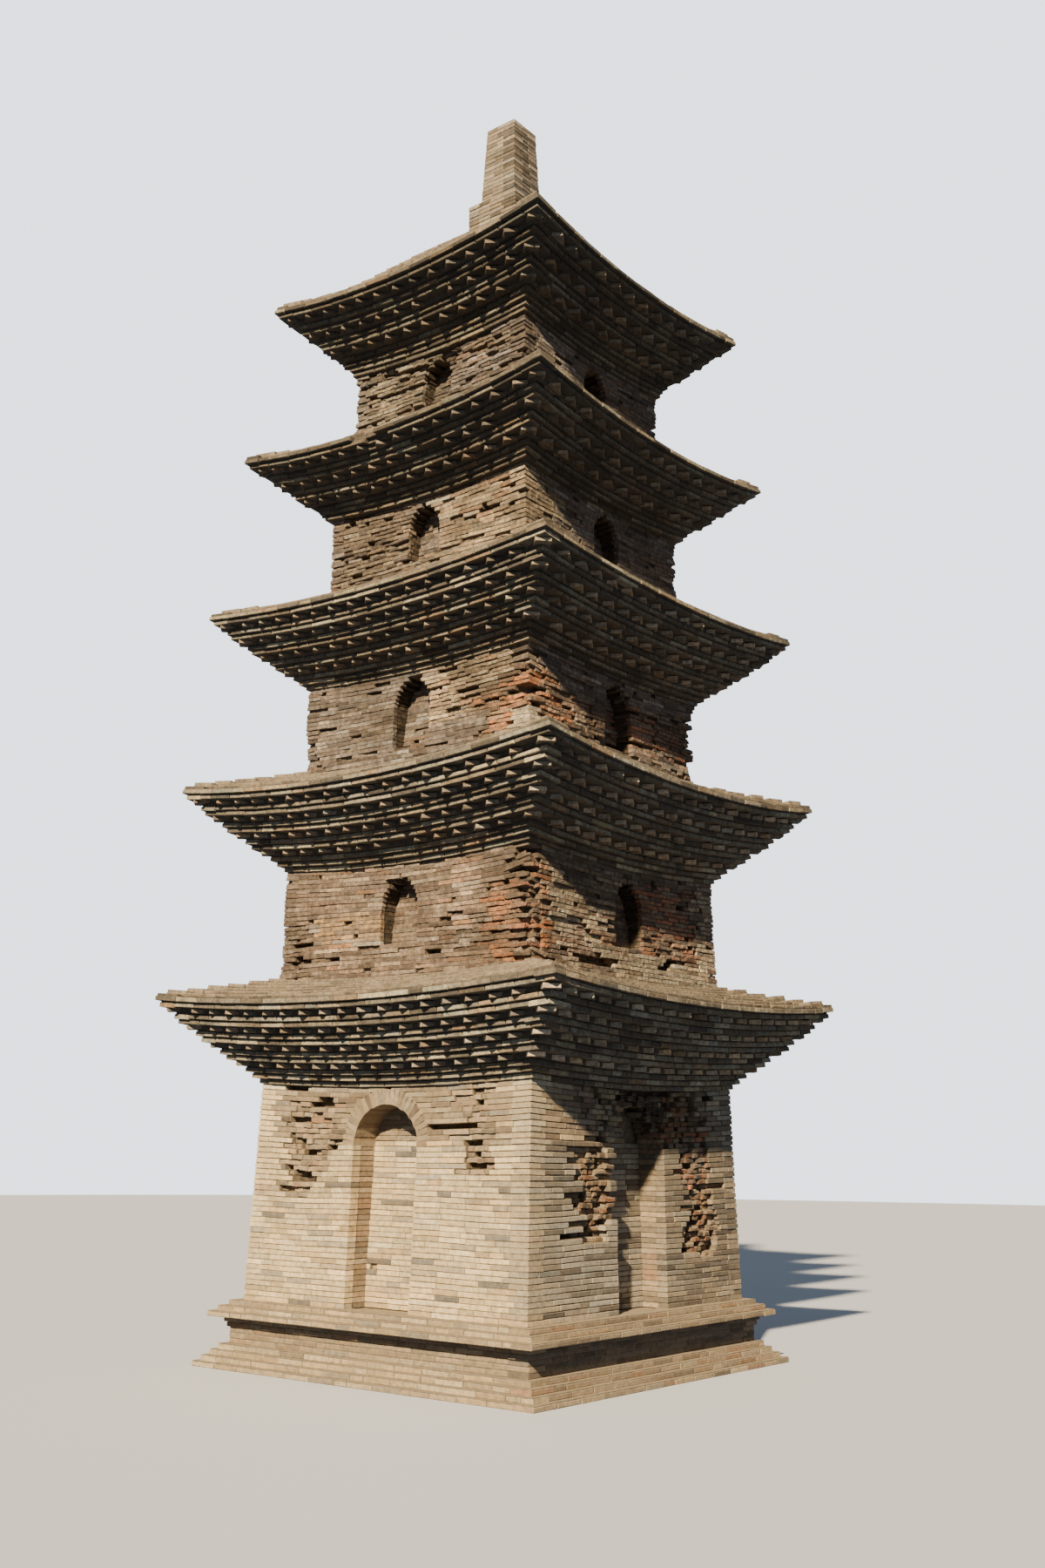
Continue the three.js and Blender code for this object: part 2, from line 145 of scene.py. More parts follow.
def smoothStep(a, b, x):
    t = min(1.0, max(0.0, (x - a) / (b - a)))
    return t * t * (3 - 2 * t)


def slopeAt(bow, along, step=0.05):
    return math.atan2(bow(along + step) - bow(along - step), 2 * step)


def flat(along):
    return 0.0


def oblong(left, right, low, high):
    return [(left, low), (right, low), (right, high), (left, high)]


def area(side, shape, kind=None, **changes):
    # Where bricks are laid another way. The shape is (along the side, height), and no side means all four.
    return {"side": side, "shape": shape, **(kind or {}), **changes}


def areaAt(areas, side, along, z):
    for one in areas:
        if one["side"] in (side, None) and insideShape(one["shape"], along, z):
            return one
    return {}


def addObject(name, data):
    made = bpy.data.objects.new(name, data)
    bpy.context.scene.collection.objects.link(made)
    return made


def storeVectors(mesh, name, rows):
    layer = mesh.attributes.new(name, "FLOAT_VECTOR", "POINT")
    layer.data.foreach_set("vector", [number for row in rows for number in row])


def storeNumbers(mesh, name, numbers):
    layer = mesh.attributes.new(name, "FLOAT", "POINT")
    layer.data.foreach_set("value", numbers)


def addNode(tree, kind, inputs, settings):
    # A socket is linked to its input, a list of sockets goes into one input, and anything else is set
    made = tree.nodes.new(kind)
    for name, value in settings.items():
        setattr(made, name, value)
    for slot, value in inputs.items():
        for item in value if isinstance(value, list) else [value]:
            if isinstance(item, bpy.types.NodeSocket):
                tree.links.new(item, made.inputs[slot])
            else:
                made.inputs[slot].default_value = item
    return made


def makeBrick(name, parts):
    # A unit brick with chamfered front edges, and its mortar, which reaches over its top and one end
    rows, faces = [], []
    still = (0, 0, 0)
    mortarDepth = 0.98

    def add(point, inset=still, pullX=still, pull=still, bed=0.0):
        rows.append((point, inset, pullX, pull, bed))

    for i in range(parts + 1):
        x = i / parts - 0.5
        end = 1 if i == 0 else -1 if i == parts else 0
        for z in (-0.5, 0.5):
            add((x, 0.0, z), (end, 0, -2 * z))
        for y, z in ((0.0, 0.5), (1.0, 0.5), (1.0, -0.5), (0.0, -0.5)):
            add((x, y, z), (0, 1 - y, 0))
    for i in range(parts):
        for k in range(6):
            a, b = i * 6 + k, i * 6 + (k + 1) % 6
            faces.append((a, a + 6, b + 6, b))
    last = parts * 6
    faces += [(0, 1, 2, 5), (5, 2, 3, 4)]
    faces += [(last + 5, last + 2, last + 1, last), (last + 4, last + 3, last + 2, last + 5)]
    base = len(rows)
    for y in (0.0, 1.0):
        for x, z in ((-0.5, -0.5), (0.5, -0.5), (0.5, 0.5), (-0.5, 0.5)):
            ends = (1, 0, 0) if x < 0 else (0, 1, 0)
            add((x, y * mortarDepth, z), still, ends, (0, 1 - y, 1 if z > 0 else 0), 1.0)
    faces.append(tuple(base + i for i in (0, 1, 2, 3)))
    for i in range(4):
        j = (i + 1) % 4
        faces.append((base + i, base + i + 4, base + j + 4, base + j))
    faces.append(tuple(base + i for i in (7, 6, 5, 4)))
    points, insets, pullsX, pulls, beds = zip(*rows)
    mesh = bpy.data.meshes.new(name)
    mesh.from_pydata(list(points), [], faces)
    for key, values in (("corner", points), ("inset", insets), ("pullX", pullsX), ("pull", pulls)):
        storeVectors(mesh, key, values)
    storeNumbers(mesh, "bed", beds)
    return addObject(name, mesh)


def makeBrickworkTree():
    # Lays a brick on each point, by the place, turn, size, joint and wear that the point carries
    tree = bpy.data.node_groups.new("brickwork", "GeometryNodeTree")
    face = tree.interface
    face.new_socket("Geometry", in_out="INPUT", socket_type="NodeSocketGeometry")
    inputs = (("Brick", "NodeSocketObject", None), ("Unevenness", "NodeSocketFloat", 0.003),
              ("Grain size", "NodeSocketFloat", 0.09), ("Seed", "NodeSocketFloat", 1.0),
              ("Finish", "NodeSocketMaterial", None))
    for name, kind, value in inputs:
        socket = face.new_socket(name, in_out="INPUT", socket_type=kind)
        if value is not None:
            socket.default_value = value
    face.new_socket("Geometry", in_out="OUTPUT", socket_type="NodeSocketGeometry")

    def node(kind, inputs={}, **settings):
        return addNode(tree, kind, inputs, settings)

    def named(name, kind="FLOAT_VECTOR"):
        return node("GeometryNodeInputNamedAttribute", {"Name": name}, data_type=kind).outputs["Attribute"]

    def vector(operation, *values):
        made = node("ShaderNodeVectorMath", dict(enumerate(values)), operation=operation)
        return made.outputs["Value" if operation == "DOT_PRODUCT" else "Vector"]

    start = node("NodeGroupInput").outputs
    split = node("GeometryNodeSeparateGeometry", {
        "Geometry": start["Geometry"], "Selection": named("isBrick", "FLOAT")}, domain="POINT").outputs
    source = node("GeometryNodeObjectInfo", {"Object": start["Brick"]}).outputs["Geometry"]
    lay = node("GeometryNodeInstanceOnPoints", {"Points": split["Selection"], "Instance": source})
    real = node("GeometryNodeRealizeInstances", {"Geometry": lay.outputs["Instances"]})

    worn = node("ShaderNodeSeparateXYZ", {0: named("worn")}).outputs
    joint = node("ShaderNodeSeparateXYZ", {0: named("joint")}).outputs
    edge = node("ShaderNodeCombineXYZ", {slot: worn["X"] for slot in "XYZ"})
    reach = node("ShaderNodeCombineXYZ", {"Y": worn["Y"], "Z": joint["Z"]})
    ends = node("ShaderNodeCombineXYZ", {"X": vector("DOT_PRODUCT", named("pullX"), named("joint"))})
    sized = vector("MULTIPLY", named("corner"), named("size"))
    chamfered = vector("ADD", sized, vector("MULTIPLY", named("inset"), edge.outputs[0]))
    bedded = vector("ADD", chamfered, vector("MULTIPLY", named("pull"), reach.outputs[0]))
    local = vector("ADD", bedded, ends.outputs[0])
    turned = node("ShaderNodeVectorRotate", {"Vector": local, "Rotation": named("turn")},
                  rotation_type="EULER_XYZ")
    placed = node("GeometryNodeSetPosition", {
        "Geometry": real.outputs["Geometry"], "Position": vector("ADD", named("place"), turned.outputs[0])})

    scale = node("ShaderNodeMath", {0: 1.0, 1: start["Grain size"]}, operation="DIVIDE")
    grain = node("ShaderNodeTexNoise", {"Detail": 2.0, "Scale": scale.outputs[0], "W": start["Seed"]},
                 noise_dimensions="4D")
    centred = vector("SUBTRACT", grain.outputs["Color"], (0.5, 0.5, 0.5))
    wear = node("ShaderNodeMath", {0: start["Unevenness"], 1: worn["Z"]}, operation="MULTIPLY")
    uneven = node("ShaderNodeVectorMath", {0: centred, "Scale": wear.outputs[0]}, operation="SCALE")
    rough = node("GeometryNodeSetPosition", {
        "Geometry": placed.outputs["Geometry"], "Offset": uneven.outputs[0]})

    core = node("GeometryNodeStoreNamedAttribute", {
        "Name": "bed", "Value": 1.0, "Geometry": split["Inverted"]}, data_type="FLOAT", domain="POINT")
    both = [rough.outputs["Geometry"], core.outputs["Geometry"]]
    join = node("GeometryNodeJoinGeometry", {"Geometry": both})
    whole = node("GeometryNodeRealizeInstances", {"Geometry": join.outputs["Geometry"]})
    coat = node("GeometryNodeSetMaterial", {
        "Geometry": whole.outputs["Geometry"], "Material": start["Finish"]})
    node("NodeGroupOutput", {"Geometry": coat.outputs["Geometry"]})
    return tree


finishes = {
    "restored_brick": {"mortar": (0.175, 0.138, 0.098), "stain": (0.23, 0.175, 0.115), "stainShare": 0.45,
                       "sootAndUnderShade": 0.35, "dust": (0.48, 0.39, 0.275), "dustShare": 0.3, "grain": 0.24,
                       "smear": 0.12, "pits": 0.45, "mottle": 0.20, "relief": 0.15, "bump": 0.35},
    "weathered_brick": {"mortar": (0.150, 0.115, 0.082), "stain": (0.066, 0.050, 0.038), "stainShare": 0.68,
                        "sootAndUnderShade": 0.50, "dust": (0.26, 0.21, 0.155), "dustShare": 0.3, "grain": 0.34,
                        "smear": 0.50, "pits": 0.70, "mottle": 0.36, "relief": 0.75, "bump": 0.6},
    "eave_brick": {"mortar": (0.098, 0.080, 0.062), "stain": (0.034, 0.031, 0.028), "stainShare": 0.60,
                   "sootAndUnderShade": 0.65, "dust": (0.20, 0.165, 0.125), "dustShare": 0.4, "grain": 0.32,
                   "smear": 0.30, "pits": 0.50, "mottle": 0.30, "relief": 0.45, "bump": 0.5},
    "roof_brick": {"mortar": (0.23, 0.185, 0.138), "stain": (0.075, 0.061, 0.048), "stainShare": 0.65,
                   "sootAndUnderShade": 0.4, "dust": (0.235, 0.192, 0.145), "dustShare": 0.5, "grain": 0.34,
                   "smear": 0.60, "pits": 0.60, "mottle": 0.34, "relief": 0.7, "bump": 0.5},
}


def makeFinish(name, look):
    # Brick and mortar, told apart by the attribute bed, with smears, pits, stains, sooty dirt and painted
    # shade below, and dust above
    material = bpy.data.materials.new(name)
    material.use_nodes = True
    tree = material.node_tree
    tree.nodes.clear()

    def node(kind, inputs={}, **settings):
        return addNode(tree, kind, inputs, settings)

    def noise(scale, detail, stretch=(1, 1, 1)):
        stretched = node("ShaderNodeMapping", {"Vector": place.outputs["Object"], "Scale": stretch})
        made = node("ShaderNodeTexNoise", {
            "Vector": stretched.outputs["Vector"], "Scale": scale, "Detail": detail, "Roughness": 0.6})
        return made.outputs["Fac"]

    def ramp(value, low, high, atLow, atHigh):
        made = node("ShaderNodeMapRange", {"Value": value, "From Min": low, "From Max": high, "To Min": atLow,
                                           "To Max": atHigh}, interpolation_type="SMOOTHSTEP")
        return made.outputs["Result"]

    def mix(kind, share, a, b):
        colours = [(*colour, 1.0) if isinstance(colour, tuple) else colour for colour in (a, b)]
        made = node("ShaderNodeMix", {0: share, 6: colours[0], 7: colours[1]}, data_type="RGBA",
                    blend_type=kind, clamp_factor=True)
        return made.outputs[2]

    def times(a, b):
        return node("ShaderNodeMath", {0: a, 1: b}, operation="MULTIPLY").outputs[0]

    place = node("ShaderNodeTexCoord")
    tint = node("ShaderNodeAttribute", attribute_name="tint")
    bed = node("ShaderNodeAttribute", attribute_name="bed")
    fine = noise(95, 4)
    pit = noise(75, 3, (1, 1, 1.6))
    blotch = noise(24, 4)
    patch = noise(7.5, 5, (1, 1, 2.2))
    stain = noise(1.9, 5)
    streak = noise(1.0, 5, (7, 7, 0.8))
    surface = node("ShaderNodeNewGeometry")
    facing = node("ShaderNodeSeparateXYZ", {0: surface.outputs["True Normal"]}).outputs["Z"]

    grain, mottle, stainShare = look["grain"], look["mottle"], look["stainShare"]
    brick = mix("MULTIPLY", 1.0, tint.outputs["Color"], ramp(fine, 0.25, 0.75, 1 - grain, 1 + grain * 0.5))
    brick = mix("MULTIPLY", 1.0, brick, ramp(blotch, 0.32, 0.68, 1 - mottle, 1 + mottle * 0.75))
    mortar = mix("MULTIPLY", 1.0, look["mortar"], ramp(blotch, 0.3, 0.7, 0.65, 1.3))
    brick = mix("MIX", times(ramp(patch, 0.52, 0.62, 0.0, 1.0), look["smear"]), brick, mortar)
    colour = mix("MIX", bed.outputs["Fac"], brick, mortar)
    coats = ((pit, 0.38, 0.30, 0.0, 1.0, look["pits"], "stain"),
             (stain, 0.50, 0.70, 0.0, 1.0, stainShare, "stain"),
             (streak, 0.52, 0.75, 0.0, 1.0, stainShare * 0.8, "stain"),
             # Faces turned down are darkened: sooty dirt, and painted shade under things
             (facing, -0.9, -0.3, 1.0, 0.0, look["sootAndUnderShade"], "stain"),
             (facing, 0.4, 0.9, 0.0, 1.0, look["dustShare"], "dust"))
    for where, low, high, atLow, atHigh, share, tone in coats:
        colour = mix("MIX", times(ramp(where, low, high, atLow, atHigh), share), colour, look[tone])

    relief = node("ShaderNodeBump", {"Strength": look["relief"], "Distance": 0.02, "Height": blotch})
    bump = node("ShaderNodeBump", {
        "Strength": look["bump"], "Distance": 0.006, "Normal": relief.outputs["Normal"],
        "Height": times(pit, ramp(fine, 0.2, 0.8, 0.7, 1.0))})
    shader = node("ShaderNodeBsdfPrincipled", {
        "Specular IOR Level": 0.22, "Base Color": colour, "Roughness": ramp(blotch, 0.3, 0.7, 0.82, 0.97),
        "Normal": bump.outputs["Normal"]})
    node("ShaderNodeOutputMaterial", {"Surface": shader.outputs[0]})
    return material


def pick(rng, clay, tones, shade):
    options = clays[clay]
    r, g, b = rng.choices([colour for _, colour in options], [share for share, _ in options])[0]
    light = max(0.4, 1 + rng.gauss(0, tones)) * shade
    warm = rng.gauss(0, 0.02 + tones * 0.15)
    return (r * light * (1 + warm), g * light, b * light * (1 - warm))


# How bricks are laid and how they break
laying = {
    "shortest": 0.085,  # a shorter rest of a course is joined to the brick before it
    "noBrick": 0.02,  # a stretch shorter than this gets no brick
    "lookAhead": 0.08,  # where along a brick its area is looked up before its length is known
    "nearEnd": 0.001,  # a brick that ends this near the end of its stretch is the last of it
    "longer": 0.3,  # share of the spread by which a brick may be longer
    "wander": (0.03, 0.02),  # how far the edge of an area wanders, along and up
    "openEnd": 0.007,  # how far the mortar stays back at an open end
    "lostBack": (0.080, 0.125),  # how deep the backing stands where a brick is lost
    "wornReach": 2.5,  # how far a worn corner reaches along a side, in times its depth
    "wornSpread": (0.55, 1.0), "wornCut": (0.5, 1.0), "cutFrom": 0.09, "cutLeaves": 0.05,
    "biteFrom": 0.13, "bite": (0.03, 0.11), "biteLeaves": 0.06,  # the end that a longer brick loses
    "stubBack": (0.018, 0.055), "stubDepth": 0.10, "stubTurn": 0.12, "stubMore": 0.01,  # what is left of it
    "brokenBack": (0.008, 0.035), "brokenTilt": (-0.30, 0.22), "brokenTurn": 0.05, "brokenRough": 1.2,
    "edgeSpread": (0.6, 1.5),
    "slopeShare": 0.35,  # how much of its tilt a brick also slopes along its course
    "revealStep": 0.006,  # how far the bricks behind a jamb stand back from it
    "leastReveal": 0.03,  # a shallower rest behind a jamb gets no brick
}


class Brickwork:
    # The bricks of one piece, and the core behind them
    def __init__(self, seed, look, areas=(), corners=()):
        self.rng = random.Random(seed)
        self.seed = seed
        self.look = look
        self.areas = areas
        self.corners = corners
        self.ends = (0.0, 0.0, 0.0)
        self.bricks = []
        self.corePoints = []
        self.coreFaces = []

    def put(self, side, along, inward, z, turn, size, clay, ends, bedTop, edge, sink, rough=1.0):
        x, y = turnSide(side, along, inward)
        tilt, slope, yaw = turn
        patch = math.sin(along * 3.1 + z * 4.3 + side) + math.sin(along * 5.3 - z * 2.9 + self.seed)
        shade = self.look.get("shade", 1.0) * (1 + self.look.get("patches", 0.0) * patch)
        self.bricks.append({
            "place": (x, y, z), "turn": (tilt, slope, yaw + side * math.pi / 2), "size": size,
            "tint": pick(self.rng, clay, self.look["tones"], shade), "joint": (*ends, bedTop),
            "worn": (edge, sink, rough)})

    def stack(self, rings, bow, notch=None, steps=12):
        # A closed core of square rings, (half, z, bowed), from the bottom up, notched where there are niches
        start = len(self.corePoints)
        for half, z, bowed in rings:
            for side in range(4):
                out, reach = sideSize(side, half, z)
                row = [(-reach + 2 * reach * i / steps, -out) for i in range(steps)]
                if notch:
                    w, deep = notch
                    row = [(-reach, -out), (-w, -out), (-w, deep - out), (w, deep - out), (w, -out)]
                for along, inward in row:
                    x, y = turnSide(side, along, inward)
                    self.corePoints.append((x, y, z + (bow(along) if bowed else 0.0)))
        count = (len(self.corePoints) - start) // len(rings)
        for level in range(len(rings) - 1):
            for i in range(count):
                j = (i + 1) % count
                a, b = start + level * count, start + (level + 1) * count
                self.coreFaces.append((a + i, a + j, b + j, b + i))
        for level, isBottom in ((0, True), (len(rings) - 1, False)):
            middle = len(self.corePoints)
            self.corePoints.append((0.0, 0.0, rings[level][1]))
            for i in range(count):
                a, b = start + level * count + i, start + level * count + (i + 1) % count
                self.coreFaces.append((b, a, middle) if isBottom else (a, b, middle))

    def wearAt(self, corner, z):
        worn = 0.0
        for which, low, high, radius in self.corners:
            if which == corner and low < z < high:
                share = math.sin(math.pi * (z - low) / (high - low)) ** 0.5
                worn = max(worn, radius * share * (0.72 + 0.28 * math.sin(z * 23 + corner)))
        return worn

    def course(self, side, z, height, half, bow, gaps=(), parity=0):
        # One course on one side. Each gap is (from, to, depth of the brick that ends there).
        out, reach = sideSize(side, half, z)
        depth = self.look["depth"]
        left = -reach + (depth if parity else 0.0)
        stop = reach - (0.0 if parity else depth)
        row = (side, z, height, out, bow)
        self.ends = (reach, self.wearAt((side - 1) % 4, z), self.wearAt(side, z))
        leftJamb = None
        for low, high, jamb in sorted(gaps):
            if low > left:
                self.span(row, left, low, (leftJamb, jamb), (parity == 0 or leftJamb, True))
            left, leftJamb = max(left, high), jamb
        self.span(row, left, stop, (leftJamb, None), (parity == 0 or leftJamb, parity == 1))

    def span(self, row, a, b, jambs=(None, None), bare=(False, False)):
        # A stretch of a course, with the depth of the jamb at each end, and whether each end is open
        rng, look = self.rng, self.look
        side, z = row[:2]
        x = a
        while x < b - laying["noBrick"]:
            here = areaAt(self.areas, side, x + laying["lookAhead"], z)
            if "length" in here:
                length = rng.uniform(*here["length"])
            elif rng.random() < look["headers"]:
                length = look["header"]
            else:
                spread = look["spread"]
                length = look["stretcher"] * (1 + rng.uniform(-spread, spread * laying["longer"]))
            if b - (x + length) < laying["shortest"]:
                length = b - x
            self.layBrick(row, x, length, jambs, bare, (x == a, x + length > b - laying["nearEnd"]))
            x += length

    def layBrick(self, row, start, length, jambs, bare, isEnd):
        rng, look = self.rng, self.look
        side, z, height, out, bow = row
        joint = look["joint"]
        depth = look["depth"]
        wanderX, wanderZ = laying["wander"]
        middle = start + length / 2 + rng.uniform(-wanderX, wanderX)
        here = areaAt(self.areas, side, middle, z + rng.uniform(-wanderZ, wanderZ))
        isLost = rng.random() < here.get("lost", look["lost"])
        openStart, openEnd = isEnd[0] and bare[0], isEnd[1] and bare[1]
        if isLost and (openStart or openEnd):
            return
        ends = (laying["openEnd"] if openStart else 0.0, -laying["openEnd"] if openEnd else joint)
        if not openEnd:
            length -= joint
        inset = rng.uniform(*(laying["lostBack"] if isLost else here.get("sink", look["sink"])))

        corner, wornLeft, wornRight = self.ends
        for worn, gap, isOpen, hand in ((wornLeft, corner + start, openStart, 1),
                                        (wornRight, corner - start - length, openEnd, 0)):
            reach = laying["wornReach"] * worn
            if worn and gap < reach and not jambs[1 - hand]:
                inset += worn * (1 - max(0.0, gap) / reach) ** 2 * rng.uniform(*laying["wornSpread"])
                if isOpen and length > laying["cutFrom"]:
                    cut = min(worn * rng.uniform(*laying["wornCut"]), length - laying["cutLeaves"])
                    start += cut * hand
                    length -= cut
        stub = 0.0
        canBite = length > laying["biteFrom"] and rng.random() < here.get("bite", look.get("bite", 0.0))
        if canBite and not isLost:
            stub = min(rng.uniform(*laying["bite"]), length - laying["biteLeaves"])
            hand = rng.choice((0, 1))
            start += stub * hand
            length -= stub

        middle = start + length / 2
        tilt = here.get("tilt", look["tilt"])
        slope = slopeAt(bow, middle)
        turn = (rng.gauss(0, tilt), rng.gauss(0, tilt * laying["slopeShare"]) - slope, rng.gauss(0, tilt))
        bed = joint
        if (openStart and not jambs[0]) or (openEnd and not jambs[1]):
            # A corner brick also follows the slope of the courses round the corner
            turn = (turn[0] - abs(slope), turn[1], turn[2])
            bed += abs(slope) * depth
        jamb = (isEnd[0] and jambs[0]) or (isEnd[1] and jambs[1])
        if jamb:
            depth = look["quoin"]
        uneven = look.get("thickness", 0.0)
        lift = z + bow(middle) + (height - joint) / 2 + rng.uniform(-uneven, uneven)
        thick = height - joint + rng.uniform(-uneven, uneven)
        rough = here.get("rough", 1.0)
        if rng.random() < here.get("broken", look.get("broken", 0.0)):
            inset += rng.uniform(*laying["brokenBack"])
            turn = (rng.uniform(*laying["brokenTilt"]), turn[1], turn[2] + rng.gauss(0, laying["brokenTurn"]))
            rough += laying["brokenRough"]
        clay = here.get("clay", look["clay"])
        # A lost brick leaves a brick deep in the hole behind it, laid in the near-black clay as painted shade
        if isLost:
            clay = look.get("shadedBacking", clay)
        edge = here.get("edge", look["edge"]) * rng.uniform(*laying["edgeSpread"])
        finish = (ends, bed, edge, here.get("rake", look["rake"]), rough)
        self.put(side, middle, inset - out, lift, turn, (length, depth, thick), clay, *finish)
        if stub:
            aside = (length + stub) / 2 * (-1 if hand else 1)
            loose = laying["stubTurn"]
            turn = (turn[0] + rng.gauss(0, loose), turn[1], turn[2] + rng.gauss(0, loose))
            back = inset + rng.uniform(*laying["stubBack"]) - out
            size = (stub + laying["stubMore"], laying["stubDepth"], thick)
            self.put(side, middle + aside, back, lift, turn, size, clay, *finish)
        if jamb and jamb - depth > laying["leastReveal"]:
            # The rest of a niche's jamb goes on behind the quoin brick, in the jamb's clay: near-black as
            # painted shade, and on the first storey a darker brown, partly painted shade
            step = laying["revealStep"] * (1 if isEnd[0] and jambs[0] else -1)
            size = (length, jamb - depth - joint, height - joint)
            turn = (0.0, -slope, 0.0)
            self.put(side, middle + step, depth + joint - out, lift, turn, size, look["shadedReveal"], *finish)

    def teeth(self, side, z, height, tip, cornerTip, bow):
        # Bricks laid cornerwise with their points on one line, and one laid along the hip at the corner
        rng, look = self.rng, self.look
        out, reach = sideSize(side, tip, z)
        thick = height - look["joint"]
        tall = thick / 2
        yaw = look["toothTurn"][side]
        drift = look["toothDrift"]
        finish = (look["toothClay"][side], look["toothEnds"], look["joint"], look["edge"], look["toothRake"])
        count = int((2 * reach - look["cornerClear"]) / look["pitch"])
        for i in range(count):
            c = (i - (count - 1) / 2) * look["pitch"] + rng.uniform(-drift, drift)
            if rng.random() < look["lostTeeth"]:
                continue
            a = look["tooth"] * rng.uniform(*look["toothSpread"])
            inward = -out + a / 2 * math.sin(yaw) + rng.uniform(*look["toothSink"])
            tilt, slope, twist = (rng.gauss(0, spread) for spread in look["toothTilt"])
            turn = (tilt, slope - slopeAt(bow, c), yaw + twist)
            self.put(side, c + a / 2 * math.cos(yaw), inward, z + bow(c) + tall, turn, (a, a, thick), *finish)
        out, reach = sideSize(side, cornerTip, z)
        size = (look["tooth"], look["hipTooth"], thick)
        self.put(side, -reach, -out, z + bow(reach) + tall, (0, 0, -math.pi / 4), size, *finish)

    def finish(self, name, slot):
        # Runs the brickwork tree over the bricks and makes a plain mesh of the result
        count = len(self.bricks)
        mesh = bpy.data.meshes.new(name)
        faces = [tuple(i + count for i in face) for face in self.coreFaces]
        mesh.from_pydata([b["place"] for b in self.bricks] + self.corePoints, [], faces)
        for key in ("place", "turn", "size", "tint", "joint", "worn"):
            storeVectors(mesh, key, [b[key] for b in self.bricks] + [(0.0, 0.0, 0.0)] * len(self.corePoints))
        storeNumbers(mesh, "isBrick", [1.0] * count + [0.0] * len(self.corePoints))
        piece = addObject(name, mesh)
        modifier = piece.modifiers.new("brickwork", "NODES")
        modifier.node_group = brickworkTree
        values = {"Brick": brickShapes[self.look["shape"]], "Unevenness": self.look["unevenness"],
                  "Grain size": self.look["grainSize"], "Seed": float(self.seed), "Finish": materials[slot]}
        for socket in brickworkTree.interface.items_tree:
            if socket.in_out == "INPUT" and socket.name in values:
                modifier[socket.identifier] = values[socket.name]
        graph = bpy.context.evaluated_depsgraph_get()
        evaluated = piece.evaluated_get(graph)
        made = bpy.data.meshes.new_from_object(evaluated, preserve_all_data_layers=True, depsgraph=graph)
        piece.modifiers.remove(modifier)
        piece.data = made
        made.name = name
        for key in ("place", "turn", "size", "joint", "worn", "isBrick", "corner", "inset", "pullX", "pull"):
            if key in made.attributes:
                made.attributes.remove(made.attributes[key])
        return piece


def keep(piece, node):
    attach(piece, "root")
    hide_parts(node)


brickShapes = {"laid": makeBrick("laid", 3), "ragged": makeBrick("ragged", 5)}  # number of lengthwise parts
brickworkTree = makeBrickworkTree()
materials = {name: makeFinish(name, look) for name, look in finishes.items()}
print("finishes and brickwork tree made")

# What most of the brickwork has in common
usual = {"header": 0.146, "lost": 0.0, "sink": (0.0, 0.005), "edge": 0.004, "grainSize": 0.08,
         "shape": "laid"}

plinth = {
    "look": {**usual, "stretcher": 0.298, "headers": 0.25, "spread": 0.06, "depth": 0.20, "joint": 0.007,
             "tilt": 0.006, "rake": 0.003, "tones": 0.08, "unevenness": 0.007},
    # name: (half width of each course from the bottom up, height of a course, clay, clay of the right side).
    # The dado's and fillets' clays are darker partly as painted shade under the steps; on the right side the
    # dado and fillets take a dark clay as painted shade, and the steps and footing a darker, browner clay
    "parts": {"footing": ([1.900, 1.847, 1.794, 1.741], 0.0475, "plinth", "worn"),
              "plinth_dado": ([1.675, 1.675, 1.675], 0.140 / 3, "aged", "paintedShadeDark"),
              "plinth_fillets": ([1.695, 1.715], 0.045, "worn", "paintedShadeDark"),
              "plinth_steps": ([1.820, 1.755, 1.690], 0.045, "plinth", "worn")},
    "rightSide": oblong(-2, 2, 0, 1),
    "coreBack": 0.05, "coreGap": 0.008,
}


def buildPlinth():
    z = 0.0
    for i, (name, (halves, height, clay, rightClay)) in enumerate(plinth["parts"].items()):
        # On the right side each part takes its right-side clay; for the dado and fillets that is painted
        # shade
        rightSide = area(1, plinth["rightSide"], clay=rightClay)
        work = Brickwork(10 + i, {**plinth["look"], "clay": clay}, [rightSide])
        rings = []
        for row, half in enumerate(halves):
            back = half - plinth["coreBack"]
            rings += [(back, z, False), (back, z + height - plinth["coreGap"], False)]
            for side in range(4):
                work.course(side, z, height, half, flat, parity=row % 2)
            z += height
        work.stack(rings, flat)
        keep(work.finish(name + "_bricks", "restored_brick"), name)


